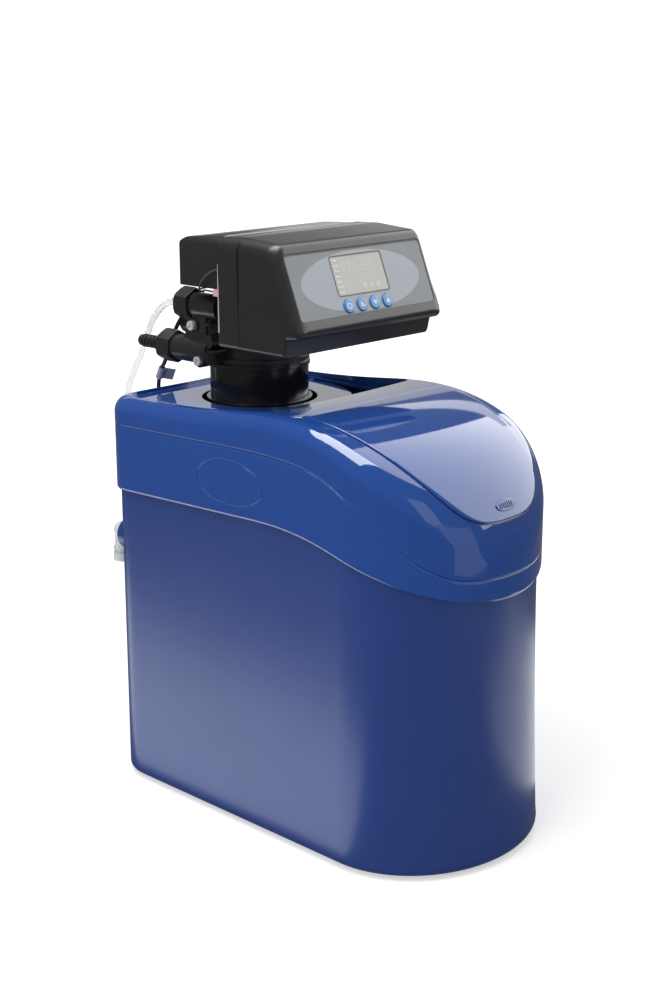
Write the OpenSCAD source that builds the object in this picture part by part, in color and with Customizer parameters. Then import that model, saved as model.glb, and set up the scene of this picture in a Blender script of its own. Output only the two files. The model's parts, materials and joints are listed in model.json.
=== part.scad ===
// Water softener cabinet with a control valve head. Millimetres, +Z up, front faces -Y.
// Origin: centre of the floor plane, under the middle of the cabinet.

/* [Cabinet] */
// Width of the cabinet at its base
base_w = 235; // [231:1:241]
// Depth of the cabinet at its base
base_d = 414; // [410:1:420]
// Wall of the cabinet
wall = 3.5; // [3:0.1:4]
// Height of the rubber pads under the cabinet
foot_h = 3; // [2:0.5:5]

/* [Cover] */
// Width of the skirt and top cover
cover_w = 230; // [228:1:234]
// Wall of the top cover
cover_wall = 3; // [2.6:0.1:3.4]
// Height of the deck around the neck
deck_z = 385.5; // [381:0.5:386]
// Radial gap between the neck collar and its hole
neck_gap = 8.5; // [6:0.5:9]
// Inset of the tray from the cover's side
rim_w = 14; // [12:0.5:16]

/* [Lid] */
// Half width of the salt lid at its hinge edge
lid_half = 93; // [88:0.5:94]
// Gap round the salt lid
lid_gap = 1; // [0.6:0.1:1.4]
// Width of the seat under the salt lid
lid_seat = 9; // [6:0.5:12]

/* [Tank] */
// Radius of the resin tank
tank_r = 86; // [80:1:86]
// Wall of the resin tank
tank_wall = 4; // [3:0.5:6]
// Radius of the neck collar
collar_r = 47.7; // [46.5:0.1:48.5]
// Radius of the riser tube
riser_r = 13.35; // [12:0.05:13.5]

/* [Valve] */
// Radius of the inlet and outlet male ends, three-quarter inch pipe thread
port_r = 13.2; // [13:0.05:13.5]
// Distance of each port from the middle
port_x = 28; // [26:0.5:31]
// Across flats of the side nuts
nut_af = 28; // [26:0.5:29]
// Radius of the drain hose tail
barb_r = 5.6; // [5:0.1:6]

/* [Head] */
// Width of the control head
head_w = 196; // [190:1:202]
// Wall of the control head covers
head_wall = 2.5; // [2:0.1:3]

/* [Panel] */
// Radius of a button
button_r = 6.1; // [5.5:0.1:6.6]
// Distance between buttons
button_pitch = 17; // [16.5:0.1:18]
// Press travel of a button
button_travel = 1; // [0.6:0.1:1.2]

/* [Drive] */
// Teeth of the drive gear
gear_teeth = 44; // [40:4:44]
// Teeth of the motor pinion
pinion_teeth = 12; // [12:1:14]

/* [Brine] */
// Radius of the brine well
well_r = 27; // [24:0.5:29]
// Travel of the float
float_travel = 60; // [40:5:80]

/* [Leads] */
// Diameter of the supply lead
lead_d = 4; // [3.6:0.1:4.2]
// Diameter of the clear brine tube
tube_d = 6.4; // [6:0.1:6.6]

/* [Hidden] */
$fn = 48;
// gap between pieces that touch in one body
seat = 0.1;
// radial running clearance
run = 0.05;
// clearance between moving bodies
clear = 0.4;

// plan outlines: half width, nose depth, rear, rear corner radius, start of nose
base_plan = [base_w / 2, 102, base_d - 210, 40, -108];
cover_plan = [cover_w / 2, 102, 206, 30, -105];
top_plan = [cover_w / 2 - 4, 98, 202, 26, -105];
n_nose = 12;
n_side = 7;
n_corner = 4;
m_row = 6;
n_half = 1 + n_nose + n_side + n_corner;
n_ring = 2 * n_half + m_row - 2;

function inset(p, d) = [p[0] - d, p[1] - d, p[2] - d, max(p[3] - d, 4), p[4]];
function mix(a, b, t) = a + (b - a) * t;
function half_plan(p) = concat(
  [for (i = [0:n_nose]) [p[0] * sin(90 * i / n_nose), p[4] - p[1] * cos(90 * i / n_nose)]],
  [for (i = [1:n_side]) [p[0], mix(p[4], p[2] - p[3], i / n_side)]],
  [for (i = [1:n_corner]) [p[0] - p[3] + p[3] * cos(90 * i / n_corner),
                           p[2] - p[3] + p[3] * sin(90 * i / n_corner)]]);
function ring_plan(p) = let (h = half_plan(p), e = h[n_half - 1]) concat(
  h,
  [for (j = [1:m_row - 1]) [e[0] * (1 - 2 * j / m_row), e[1]]],
  [for (i = [n_half - 1:-1:1]) [-h[i][0], h[i][1]]]);
function inner_plan(p) = let (h = half_plan(p))
  [for (r = [1:n_half - 2]) for (j = [1:m_row - 1]) [h[r][0] * (1 - 2 * j / m_row), h[r][1]]];

// index of a cap point: row r, column j from right to left
function cap_id(r, j, ring0, inner0) =
  r == 0 ? ring0
  : j == 0 ? ring0 + r
  : j == m_row ? ring0 + n_ring - r
  : r == n_half - 1 ? ring0 + n_half - 1 + j
  : inner0 + (r - 1) * (m_row - 1) + j - 1;
function cap_up(ring0, inner0) = concat(
  [for (j = [0:m_row - 1]) [cap_id(0, 0, ring0, inner0), cap_id(1, j + 1, ring0, inner0), cap_id(1, j, ring0, inner0)]],
  [for (r = [1:n_half - 2]) for (j = [0:m_row - 1]) for (t = [0:1]) t == 0
    ? [cap_id(r, j, ring0, inner0), cap_id(r + 1, j + 1, ring0, inner0), cap_id(r + 1, j, ring0, inner0)]
    : [cap_id(r, j, ring0, inner0), cap_id(r, j + 1, ring0, inner0), cap_id(r + 1, j + 1, ring0, inner0)]]);
function flip(f) = [for (t = f) [t[2], t[1], t[0]]];
function band(a, b, n) = [for (i = [0:n - 1]) for (t = [0:1]) let (k = (i + 1) % n) t == 0
  ? [a + i, b + i, b + k]
  : [a + i, b + k, a + k]];

// closed solid through rings, with capped ends
module loft(rings, low, high) {
  n = len(rings);
  pts = concat([for (r = rings) for (q = r) q], low, high);
  faces = concat(
    [for (k = [0:n - 2]) for (f = band(k * n_ring, (k + 1) * n_ring, n_ring)) f],
    flip(cap_up(0, n * n_ring)),
    cap_up((n - 1) * n_ring, n * n_ring + len(low)));
  polyhedron(points = pts, faces = faces, convexity = 8);
}

// closed hoop whose section runs through the rings in turn
module hoop(rings) {
  n = len(rings);
  polyhedron(
    points = [for (r = rings) for (q = r) q],
    faces = [for (k = [0:n - 1]) for (f = band(k * n_ring, ((k + 1) % n) * n_ring, n_ring)) f],
    convexity = 8);
}

// heights along the cabinet: lower lip, seam, rim, dome
nose_y = -207;
lip_low = 251;
lip_rise = 52;
seam_low = 273.5;
seam_rise = 94;
tail_drop = 0.028;
dome_y = -45;
dome_a = 163;
dome_b = 128.5;
dome_z = 273.5;
// power of the dome's curve
dome_n = 2.2;
dome_bow = 20;
tail_fall = 15;
tail_run = 95;
shoulder = 15;

function clamp01(t) = max(0, min(1, t));
function lip(y) = lip_low + lip_rise * sin(90 * clamp01((y - nose_y) / 190)) - tail_drop * max(0, y);
function seam(y) = seam_low + seam_rise * (1 - exp(-pow(max(0, y - nose_y) / 78, 1.85))) - tail_drop * max(0, y - 10);
function rim(y) = mix(lip(y), seam(y), 0.4);
function bow(x) = dome_bow * (x / 100) * (x / 100);
function dome(v, t) = v < dome_y
  ? dome_z - t + dome_b * pow(max(0, 1 - pow((dome_y - v) / (dome_a - t), dome_n)), 1 / dome_n)
  : let (u = (v - dome_y) / tail_run) dome_z - t + dome_b - tail_fall * u * u / (1 + u * u);
function top(q, t) = dome(q[1] - bow(q[0]), t);
function fall(d, r) = r - sqrt(max(0, r * r - (r - d) * (r - d)));

function at_z(plan, z) = [for (q = plan) [q[0], q[1], z]];
function at_rise(plan, f) = [for (q = plan) [q[0], q[1], mix(foot_h, rim(q[1]), f)]];
function at_lip(plan, dz) = [for (q = plan) [q[0], q[1], lip(q[1]) + dz]];
function at_rim(plan, dz) = [for (q = plan) [q[0], q[1], rim(q[1]) + dz]];
function at_seam(plan, dz, f) = [for (q = plan) [q[0], q[1], seam(q[1]) + dz - f * (seam(q[1]) - lip(q[1]))]];
function at_top(plan, d, r, t) = [for (q = plan) [q[0], q[1], top(q, t) - fall(d, r)]];

// cabinet
floor_t = 5;
function body_plan(f) = mix(base_plan, top_plan, sin(90 * f));
module cabinet_shell() {
  loft(concat(
    [for (s = [[8, 0], [4.2, 0.9], [1.2, 3.6], [0, 8]]) at_z(ring_plan(inset(base_plan, s[0])), foot_h + s[1])],
    [for (f = [0.2, 0.4, 0.6, 0.8, 1]) at_rise(ring_plan(body_plan(f)), f)],
    [for (f = [1, 0.75, 0.5, 0.25]) at_rise(ring_plan(inset(body_plan(f), wall)), f)],
    [for (s = [[0, 8], [6, 0]]) at_z(ring_plan(inset(base_plan, wall + 1.5 + s[0])), foot_h + floor_t + s[1])]),
    at_z(inner_plan(inset(base_plan, 8)), foot_h),
    at_z(inner_plan(inset(base_plan, wall + 7.5)), foot_h + floor_t));
}
overflow_x = -(cover_w / 2 - 27);
overflow_z = 246;
overflow_r = 8;
boss_r = 16;
boss_in = 189.5;
// outer face of the rear wall at a height
function rear_face(z) = body_plan((z - foot_h) / (rim(base_plan[2]) - foot_h))[2];
boss_out = rear_face(overflow_z) + 1;
grommet_x = -50;
grommet_z = 272;
grommet_r = tube_d / 2 + 3;
module cabinet_body() {
  color([0.12, 0.2, 0.5]) difference() {
    union() {
      cabinet_shell();
      along_y(overflow_x, boss_in, boss_out, overflow_z, boss_r);
    }
    along_y(overflow_x, boss_in - 40, boss_out + 20, overflow_z, overflow_r + 0.3);
    along_y(grommet_x, boss_in - 40, boss_out + 20, grommet_z, grommet_r);
    for (q = foot_at) translate([q[0], q[1], -1]) cylinder(r = 3, h = foot_h + 4);
  }
}
foot_at = [[-85, 160], [85, 160], [-75, -120], [75, -120], [0, 0]];
module foot_pads() {
  color([0.08, 0.08, 0.08]) for (q = foot_at) translate([q[0], q[1], 0]) {
    cylinder(r = 12, h = foot_h - seat);
    cylinder(r = 2.9, h = foot_h + 2.9);
  }
}

// skirt
skirt_t = 2.9;
groove_at = [28, 333.5];
groove_r = [42.5, 21];
module oval(a, b, h) {
  scale([a, b, 1]) cylinder(r = 1, h = h, $fn = 64);
}
module cover_skirt() {
  color([0.13, 0.25, 0.58]) difference() {
    hoop([
      at_lip(ring_plan(inset(cover_plan, 2.6)), 0),
      at_lip(ring_plan(inset(cover_plan, 0.9)), 0.5),
      at_lip(ring_plan(inset(cover_plan, 0.2)), 1.6),
      at_lip(ring_plan(cover_plan), 3.2),
      at_seam(ring_plan(cover_plan), -1.4, 0),
      at_seam(ring_plan(inset(cover_plan, 0.9)), -0.4, 0),
      at_seam(ring_plan(inset(cover_plan, skirt_t)), -0.4, 0),
      at_rim(ring_plan(inset(cover_plan, skirt_t)), 2.6),
      at_rim(ring_plan(inset(cover_plan, 9.5)), 2.6),
      at_rim(ring_plan(inset(cover_plan, 9.5)), seat),
      at_rim(ring_plan(inset(cover_plan, skirt_t)), seat),
      at_lip(ring_plan(inset(cover_plan, skirt_t)), 0.6)]);
    for (s = [-1, 1]) translate([s * cover_w / 2, groove_at[0], groove_at[1]]) rotate([90, 0, 90])
      translate([0, 0, -0.6]) difference() {
        oval(groove_r[0] + 0.5, groove_r[1] + 0.5, 1.2);
        translate([0, 0, -1]) oval(groove_r[0] - 0.5, groove_r[1] - 0.5, 4);
      }
  }
}

// top cover
module cover_outer() {
  loft(concat(
    [at_seam(ring_plan(inset(cover_plan, skirt_t + 0.4)), 0, 0.3),
     at_seam(ring_plan(inset(cover_plan, skirt_t + 0.4)), 0, 0),
     at_seam(ring_plan(inset(cover_plan, 0.9)), 0, 0),
     at_seam(ring_plan(cover_plan), 1, 0)],
    [for (d = [0, 0.5, 1.8, 4, 7, 11, shoulder]) at_top(ring_plan(inset(cover_plan, d)), d, shoulder, 0)]),
    at_seam(inner_plan(inset(cover_plan, skirt_t + 0.4)), 0, 0.3),
    at_top(inner_plan(inset(cover_plan, shoulder)), shoulder, shoulder, 0));
}
module cover_inner() {
  r = shoulder - cover_wall;
  loft(concat(
    [at_seam(ring_plan(inset(cover_plan, skirt_t + 2.8)), -1, 0.3),
     at_seam(ring_plan(inset(cover_plan, skirt_t + 2.8)), 4, 0),
     at_seam(ring_plan(inset(cover_plan, cover_wall)), 6, 0)],
    [for (d = [0, 1.5, 4.5, 8, r]) at_top(ring_plan(inset(cover_plan, cover_wall + d)), d, r, cover_wall)]),
    at_seam(inner_plan(inset(cover_plan, skirt_t + 2.8)), -1, 0.3),
    at_top(inner_plan(inset(cover_plan, shoulder)), r, r, cover_wall));
}

// tray behind the dome
neck_y = 105;
tray_front = -3;
tray_t = 2.5;
platform_r = 90;
module tray_plan(grow) {
  w = cover_w / 2 - rim_w + grow;
  y0 = tray_front - grow;
  y1 = cover_plan[2] - rim_w + grow;
  rr = 24 + grow;
  rf = 10 + grow;
  polygon(concat(
    [for (i = [0:6]) [w - rf + rf * sin(15 * i), y0 + rf - rf * cos(15 * i)]],
    [for (i = [0:6]) [w - rr + rr * cos(15 * i), y1 - rr + rr * sin(15 * i)]],
    [for (i = [6:-1:0]) [-(w - rr + rr * cos(15 * i)), y1 - rr + rr * sin(15 * i)]],
    [for (i = [6:-1:0]) [-(w - rf + rf * sin(15 * i)), y0 + rf - rf * cos(15 * i)]]));
}
module tray_window(s) {
  difference() {
    intersection() {
      translate([0, 0, deck_z - tray_t - 6]) linear_extrude(height = tray_t + 7) tray_plan(-2);
      translate([s > 0 ? 30 : -230, tray_front - 5, deck_z - 40]) cube([200, 130, 60]);
    }
    translate([0, neck_y, deck_z - 50]) cylinder(r = platform_r, h = 100, $fn = 72);
  }
}

// lid block: between two heights over the dome, shrunk by e from the lid's edge
lid_rows = 16;
lid_cols = 10;
lid_tip = 1.4;
lid_reach = 154.6;
lid_rear = -45.5;
lid_low = -1.7;
lid_high = 1.6;
function dome_pt(x, t, h) =
  [x, dome_y - (dome_a + h) * pow(cos(t), 2 / dome_n) + bow(x), dome_z + (dome_b + h) * pow(sin(t), 2 / dome_n)];
function lid_turn(x, e) = acos(clamp01((dome_y - lid_rear + bow(x) + e) / lid_reach));
function lid_pt(k, j, h, e) = let (
  a = 90 * k / lid_rows,
  x = (lid_half - e) * sin(a) * (2 * j / lid_cols - 1),
  s = lid_tip + (lid_turn(x, e) - lid_tip) * (1 - cos(a)),
  t = acos(pow(lid_reach * cos(s) / dome_a, dome_n / 2)) + 0.44 * e * cos(a))
  dome_pt(x, t, h);
lid_n = 1 + lid_rows * (lid_cols + 1);
function lid_id(k, j, o) = k == 0 ? o : o + 1 + (k - 1) * (lid_cols + 1) + j;
function lid_sheet(h, e) = concat([lid_pt(0, 0, h, e)],
  [for (k = [1:lid_rows]) for (j = [0:lid_cols]) lid_pt(k, j, h, e)]);
function lid_up(o) = concat(
  [for (j = [0:lid_cols - 1]) [lid_id(0, 0, o), lid_id(1, j, o), lid_id(1, j + 1, o)]],
  [for (k = [1:lid_rows - 1]) for (j = [0:lid_cols - 1]) for (t = [0:1]) t == 0
    ? [lid_id(k, j, o), lid_id(k + 1, j, o), lid_id(k + 1, j + 1, o)]
    : [lid_id(k, j, o), lid_id(k + 1, j + 1, o), lid_id(k, j + 1, o)]]);
lid_edge = concat(
  [for (k = [0:lid_rows]) [k, lid_cols]],
  [for (j = [lid_cols - 1:-1:0]) [lid_rows, j]],
  [for (k = [lid_rows - 1:-1:1]) [k, 0]]);
module lid_block(h0, h1, e) {
  n = len(lid_edge);
  polyhedron(
    points = concat(lid_sheet(h1, e), lid_sheet(h0, e)),
    faces = concat(
      lid_up(0),
      flip(lid_up(lid_n)),
      [for (i = [0:n - 1]) for (t = [0:1]) let (p = lid_edge[i], q = lid_edge[(i + 1) % n]) t == 0
        ? [lid_id(p[0], p[1], lid_n), lid_id(p[0], p[1], 0), lid_id(q[0], q[1], 0)]
        : [lid_id(p[0], p[1], lid_n), lid_id(q[0], q[1], 0), lid_id(q[0], q[1], lid_n)]]),
    convexity = 6);
}

// hinge of the lid
hinge_y = -52;
hinge_z = 395;
pin_r = 2;
lug_r = 4.2;
lug_x = 60;
lug_w = 8;
cheek_w = 4;
sweep_r = 11.4;
rib_t = 4;
module along_x(x0, x1, y, z, r) {
  translate([x0, y, z]) rotate([0, 90, 0]) cylinder(r = r, h = x1 - x0);
}
module along_y(x, y0, y1, z, r) {
  translate([x, y0, z]) rotate([-90, 0, 0]) cylinder(r = r, h = y1 - y0);
}
// bracket under the hinge: floor strip, rib up to the cover and a pair of cheeks for each lug
module hinge_bracket() {
  rib_y = hinge_y + sweep_r + 0.4;
  floor_z = hinge_z - sweep_r - 0.4;
  for (s = [-1, 1]) {
    for (o = [-1, 1]) let (x = s * lug_x + o * (lug_w / 2 + clear + cheek_w / 2)) {
      translate([x - cheek_w / 2, hinge_y - 4.2, floor_z - 2]) cube([cheek_w, 8.4, hinge_z - floor_z + 2]);
      along_x(x - cheek_w / 2, x + cheek_w / 2, hinge_y, hinge_z, 4.2);
    }
    translate([s * lug_x - 12, hinge_y - 4.2, floor_z - 2.4]) cube([24, sweep_r + 8.6, 2.4]);
    translate([s * lug_x - 12, rib_y, floor_z - 2.4]) cube([24, rib_t, dome_z + dome_b - 1.2 - floor_z + 2.4]);
  }
}
module top_cover() {
  color([0.14, 0.3, 0.65]) difference() {
    union() {
      difference() {
        cover_outer();
        difference() {
          cover_inner();
          translate([0, 0, deck_z - tray_t]) linear_extrude(height = 60) tray_plan(tray_t);
        }
        translate([0, 0, deck_z]) linear_extrude(height = 60) tray_plan(0);
        lid_block(-30, 30, -lid_gap);
        along_x(-lid_half - 1, lid_half + 1, hinge_y, hinge_z, sweep_r);
      }
      difference() {
        lid_block(-6, -2.1, -lid_gap - 3.5);
        lid_block(-40, 30, lid_seat);
        along_x(-lid_half - 6, lid_half + 6, hinge_y, hinge_z, sweep_r);
      }
      hinge_bracket();
    }
    for (s = [-1, 1]) along_x(s * lug_x - 12, s * lug_x + 12, hinge_y, hinge_z, pin_r + 0.01);
    for (s = [-1, 1]) tray_window(s);
    translate([0, neck_y, deck_z - 30]) cylinder(r = collar_r + neck_gap, h = 60);
  }
}
module lid_hinge_pins() {
  color([0.75, 0.75, 0.78]) for (s = [-1, 1])
    along_x(s * lug_x - lug_w / 2 - clear - cheek_w, s * lug_x + lug_w / 2 + clear + cheek_w, hinge_y, hinge_z, pin_r);
}
pad_turn = 25;
module on_pad() {
  lean = atan2(pow(sin(pad_turn), 2 - 2 / dome_n) / dome_b, pow(cos(pad_turn), 2 - 2 / dome_n) / dome_a);
  translate(dome_pt(0, pad_turn, lid_high)) rotate([90 - lean, 0, 0]) children();
}
module salt_lid() {
  color([0.14, 0.3, 0.65]) difference() {
    union() {
      lid_block(lid_low, lid_high, 0);
      for (s = [-1, 1]) {
        along_x(s * lug_x - lug_w / 2, s * lug_x + lug_w / 2, hinge_y, hinge_z, lug_r);
        translate([s * lug_x - lug_w / 2, hinge_y - lug_r, hinge_z]) cube([lug_w, 2 * lug_r, dome_z + dome_b - hinge_z]);
      }
      on_pad() {
        translate([0, 0, -1.5]) oval(12.5, 5.5, 2.3);
        for (i = [-3:3]) translate([i * 2.6 - 0.5, -2.6, 0]) cube([1, 5.2, 1.3]);
      }
    }
    for (s = [-1, 1]) along_x(s * lug_x - lug_w, s * lug_x + lug_w, hinge_y, hinge_z, pin_r + run);
  }
}

// overflow fitting on the rear wall
elbow_y = boss_out + 11.5;
module overflow_elbow() {
  color([0.85, 0.88, 0.88]) difference() {
    union() {
      along_y(overflow_x, boss_in - 14, elbow_y, overflow_z, overflow_r);
      along_y(overflow_x, boss_out + 2.6, boss_out + 5.2, overflow_z, overflow_r + 2.6);
      translate([overflow_x, elbow_y, overflow_z]) sphere(r = overflow_r + 0.4);
      translate([overflow_x, elbow_y, overflow_z - 31]) cylinder(r = overflow_r - 0.3, h = 31);
      for (z = [0, 11]) translate([overflow_x, elbow_y, overflow_z - 31 + z]) cylinder(r = overflow_r + 1.5, h = z > 0 ? 3 : 8);
    }
    along_y(overflow_x, boss_in - 15, elbow_y, overflow_z, overflow_r - 2.4);
    translate([overflow_x, elbow_y, overflow_z - 32]) cylinder(r = overflow_r - 2.8, h = 33);
  }
}
module overflow_gasket() {
  color([0.1, 0.1, 0.1]) difference() {
    along_y(overflow_x, boss_out + seat, boss_out + 2.5, overflow_z, overflow_r + 2.4);
    along_y(overflow_x, boss_out - 1, boss_out + 4, overflow_z, overflow_r + 0.2);
  }
}
module overflow_nut() {
  color([0.85, 0.88, 0.88]) translate([overflow_x, boss_in - seat - 7, overflow_z]) rotate([-90, 0, 0]) difference() {
    rotate([0, 0, 30]) cylinder(r = 12 / cos(30), h = 7, $fn = 6);
    translate([0, 0, -1]) cylinder(r = overflow_r + 0.2, h = 12);
  }
}

// resin tank and what is in it
tank_z0 = foot_h + floor_t + 6;
collar_top = 424;
tank_top = collar_top - 54;
neck_r = 31.3;
function tank_wall_pts(r, z0, z1, rn) = concat(
  [for (i = [0:8]) [rn + (r - rn) * sin(90 * i / 8), z0 + 30 - 30 * cos(90 * i / 8)]],
  [for (i = [0:8]) [rn + (r - rn) * cos(90 * i / 8), z1 - 36 + 36 * sin(90 * i / 8)]]);
module resin_tank() {
  color([0.2, 0.3, 0.55]) translate([0, neck_y, 0]) difference() {
    union() {
      rotate_extrude($fn = 72) polygon(concat([[0, tank_z0]], tank_wall_pts(tank_r, tank_z0, tank_top, 38), [[0, tank_top]]));
      translate([0, 0, tank_top - 2]) cylinder(r = 38, h = 14);
    }
    rotate_extrude($fn = 72) polygon(concat([[0, tank_z0 + tank_wall]],
      tank_wall_pts(tank_r - tank_wall, tank_z0 + tank_wall, tank_top - tank_wall, neck_r), [[0, tank_top - tank_wall]]));
    translate([0, 0, tank_top - 12]) cylinder(r = neck_r, h = 30);
  }
}
module tank_foot() {
  color([0.1, 0.1, 0.1]) translate([0, neck_y, foot_h + floor_t + seat]) difference() {
    cylinder(r = 80, h = 24, $fn = 72);
    translate([0, 0, -foot_h - floor_t - seat]) rotate_extrude($fn = 72) polygon(concat([[0, tank_z0 - seat]],
      tank_wall_pts(tank_r + seat, tank_z0 - seat, tank_top, 38), [[0, tank_top]]));
  }
}
collar_z0 = tank_top + 12 + seat;
module tank_collar() {
  color([0.06, 0.06, 0.06]) translate([0, neck_y, 0]) difference() {
    union() {
      translate([0, 0, collar_z0]) cylinder(r = collar_r, h = collar_top - collar_z0, $fn = 96);
      translate([0, 0, collar_z0]) cylinder(r = collar_r + 3.6, h = 4.4, $fn = 96);
      translate([0, 0, collar_top - 5.5]) cylinder(r = collar_r + 1.4, h = 4, $fn = 96);
    }
    translate([0, 0, collar_z0 - 1]) cylinder(r = neck_r, h = collar_top - collar_z0 + 2);
  }
}
module base_seal() {
  color([0.05, 0.05, 0.05]) translate([0, neck_y, collar_top + 0.9]) rotate_extrude()
    translate([40, 0]) circle(r = 0.8, $fn = 24);
}
riser_top = collar_top + 20;
module riser_tube() {
  color([0.85, 0.85, 0.82]) translate([0, neck_y, tank_z0 + tank_wall + 26]) difference() {
    cylinder(r = riser_r, h = riser_top - tank_z0 - tank_wall - 26);
    translate([0, 0, -1]) cylinder(r = riser_r - 2.2, h = 500);
  }
}
module bottom_distributor() {
  color([0.15, 0.15, 0.15]) translate([0, neck_y, tank_z0 + tank_wall + 1]) difference() {
    union() {
      cylinder(r = 24, h = 24);
      translate([0, 0, 24]) cylinder(r = riser_r + 4, h = 16);
    }
    translate([0, 0, 3]) cylinder(r = 21, h = 18);
    translate([0, 0, 24.9]) cylinder(r = riser_r + seat, h = 30);
    translate([0, 0, 18]) cylinder(r = riser_r - 3, h = 12);
    for (a = [0:30:150]) rotate([0, 0, a]) for (z = [6, 11, 16]) translate([-30, -0.4, z]) cube([60, 0.8, 3]);
  }
}
module top_distributor() {
  color([0.15, 0.15, 0.15]) translate([0, neck_y, tank_top - 16]) difference() {
    cylinder(r = 26, h = 30);
    translate([0, 0, 3]) cylinder(r = 23, h = 40);
    translate([0, 0, -1]) cylinder(r = riser_r + seat, h = 10);
    for (a = [0:30:150]) rotate([0, 0, a]) for (z = [7, 13, 19]) translate([-30, -0.4, z]) cube([60, 0.8, 3]);
  }
}
bed_z = 244;
module resin_bed() {
  color([0.75, 0.5, 0.15]) translate([0, neck_y, 0]) difference() {
    intersection() {
      rotate_extrude($fn = 72) polygon(concat([[0, tank_z0 + tank_wall + seat]],
        tank_wall_pts(tank_r - tank_wall - seat, tank_z0 + tank_wall + seat, tank_top, neck_r), [[0, tank_top]]));
      cylinder(r = 100, h = bed_z);
    }
    translate([0, 0, -1]) cylinder(r = riser_r + 4 + seat, h = 300);
    translate([0, 0, -1]) cylinder(r = 24 + seat, h = tank_z0 + tank_wall + 26);
  }
}

// brine well, its float and its valve
well_at = [72, -30];
well_z0 = foot_h + floor_t + seat;
well_h = 250;
module brine_well() {
  color([0.9, 0.9, 0.9]) translate([well_at[0], well_at[1], well_z0]) difference() {
    cylinder(r = well_r, h = well_h);
    translate([0, 0, 3]) cylinder(r = well_r - 2, h = well_h);
    for (a = [0:45:135]) for (z = [15, 30, 45]) translate([0, 0, z]) rotate([90, 0, a]) translate([0, 0, -40]) cylinder(r = 3, h = 80);
    translate([0, 0, well_h - 14]) rotate([90, 0, 45]) cylinder(r = 5, h = 60);
  }
}
module brine_well_cap() {
  color([0.15, 0.15, 0.16]) translate([well_at[0], well_at[1], well_z0 + well_h + seat]) {
    cylinder(r = well_r + 1, h = 3);
    translate([0, 0, -7.9]) difference() {
      cylinder(r = well_r - 2.2, h = 8);
      translate([0, 0, -1]) cylinder(r = well_r - 5, h = 12);
    }
  }
}
rod_r = 4;
float_r = 15;
float_z = well_z0 + 70;
module float_rod() {
  color([0.8, 0.8, 0.78]) translate([well_at[0], well_at[1], well_z0 + 3 + seat]) {
    cylinder(r = 12, h = 22);
    cylinder(r = rod_r, h = well_h - 20);
    translate([0, 0, 66 + float_travel + 62]) cylinder(r = rod_r + 3, h = 4);
    translate([0, 0, 58]) cylinder(r = rod_r + 3, h = 4);
  }
}
module brine_float() {
  color([0.85, 0.3, 0.15]) translate([well_at[0], well_at[1], float_z]) difference() {
    union() {
      cylinder(r = float_r, h = 46);
      translate([0, 0, 46]) cylinder(r1 = float_r, r2 = float_r - 4, h = 5);
    }
    translate([0, 0, -1]) cylinder(r = rod_r + run, h = 80);
  }
}

// control valve
disc_z = collar_top + 68;
housing_r = 34;
frame_y = 56;
port_z = collar_top + 32;
ear_at = [[122.1, collar_top + 36.8], [114, collar_top + 3.9]];
ear_depth = 8;
screw_r = 2.4;
flange_r = 40;
side_x = -50.3;
module valve_body() {
  color([0.07, 0.07, 0.07]) difference() {
    union() {
      translate([0, neck_y, collar_top - 34]) cylinder(r = neck_r - seat, h = 36);
      translate([0, neck_y, collar_top + seat]) cylinder(r = collar_r + 0.8, h = 4, $fn = 96);
      translate([0, neck_y, collar_top + 2]) cylinder(r = collar_r - 2.5, h = 13, $fn = 96);
      translate([0, neck_y, collar_top + 10]) cylinder(r = 34, h = disc_z - collar_top - 10);
      along_y(0, frame_y + seat, 120, disc_z, housing_r);
      along_y(0, frame_y + seat, frame_y + 5, disc_z, flange_r);
      translate([side_x, 104, collar_top + 0.5]) cube([40, 36, 43]);
      for (s = [-1, 1]) along_y(s * port_x, 110, 146, port_z, 17);
      translate([-port_x, 118, port_z - 10]) cube([2 * port_x, 24, 20]);
      along_x(sensor_path[7][0] + 0.3, -30, sensor_path[7][1], sensor_path[7][2], 3.5);
    }
    translate([0, neck_y, collar_top - 40]) cylinder(r = riser_r + seat, h = riser_top - collar_top + 40.5);
    translate([0, neck_y, collar_top - 40]) cylinder(r = 26.3, h = 20);
    translate([0, neck_y, collar_top + 0.9]) rotate_extrude() translate([40, 0]) circle(r = 0.9, $fn = 24);
    along_y(0, frame_y - 1, 96, disc_z, housing_r - 5);
    for (s = [-1, 1]) {
      along_y(s * port_x, 122, 160, port_z, 9.5);
      along_y(s * port_x, 134, 160, port_z, port_r);
    }
    for (q = ear_at) along_x(side_x - 1, side_x + ear_depth, q[0], q[1], screw_r + seat);
  }
}
port_len = 22;
module pipe_union(s) {
  difference() {
    union() {
      along_y(s * port_x, 134 + seat, 153, port_z, port_r - seat);
      translate([s * port_x, 146 + seat, port_z]) rotate([-90, 0, 0]) cylinder(r = 18, h = 6, $fn = 6);
      along_y(s * port_x, 152, 152 + port_len, port_z, port_r);
    }
    along_y(s * port_x, 130, 200, port_z, 9.5);
  }
}
module inlet_union() {
  color([0.1, 0.1, 0.1]) pipe_union(1);
}
spindle_r = 1;
module outlet_union() {
  color([0.1, 0.1, 0.1]) difference() {
    union() {
      pipe_union(-1);
      for (a = [0, 90]) translate([-port_x, 151, port_z]) rotate([0, a, 0]) cube([2 * port_r - 2, 2, 1.6], center = true);
    }
    along_y(-port_x, 130, 149, port_z, 11);
  }
  color([0.1, 0.1, 0.1]) along_y(-port_x, 137, 151, port_z, spindle_r);
}
module meter_impeller() {
  color([0.2, 0.5, 0.85]) translate([-port_x, 138, port_z]) rotate([-90, 0, 0]) difference() {
    union() {
      cylinder(r = 2.6, h = 9);
      for (a = [0:60:300]) rotate([0, 0, a]) translate([2, -0.5, 0.5]) cube([8.3, 1, 8]);
    }
    translate([0, 0, -1]) cylinder(r = spindle_r + run, h = 12);
  }
}

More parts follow.
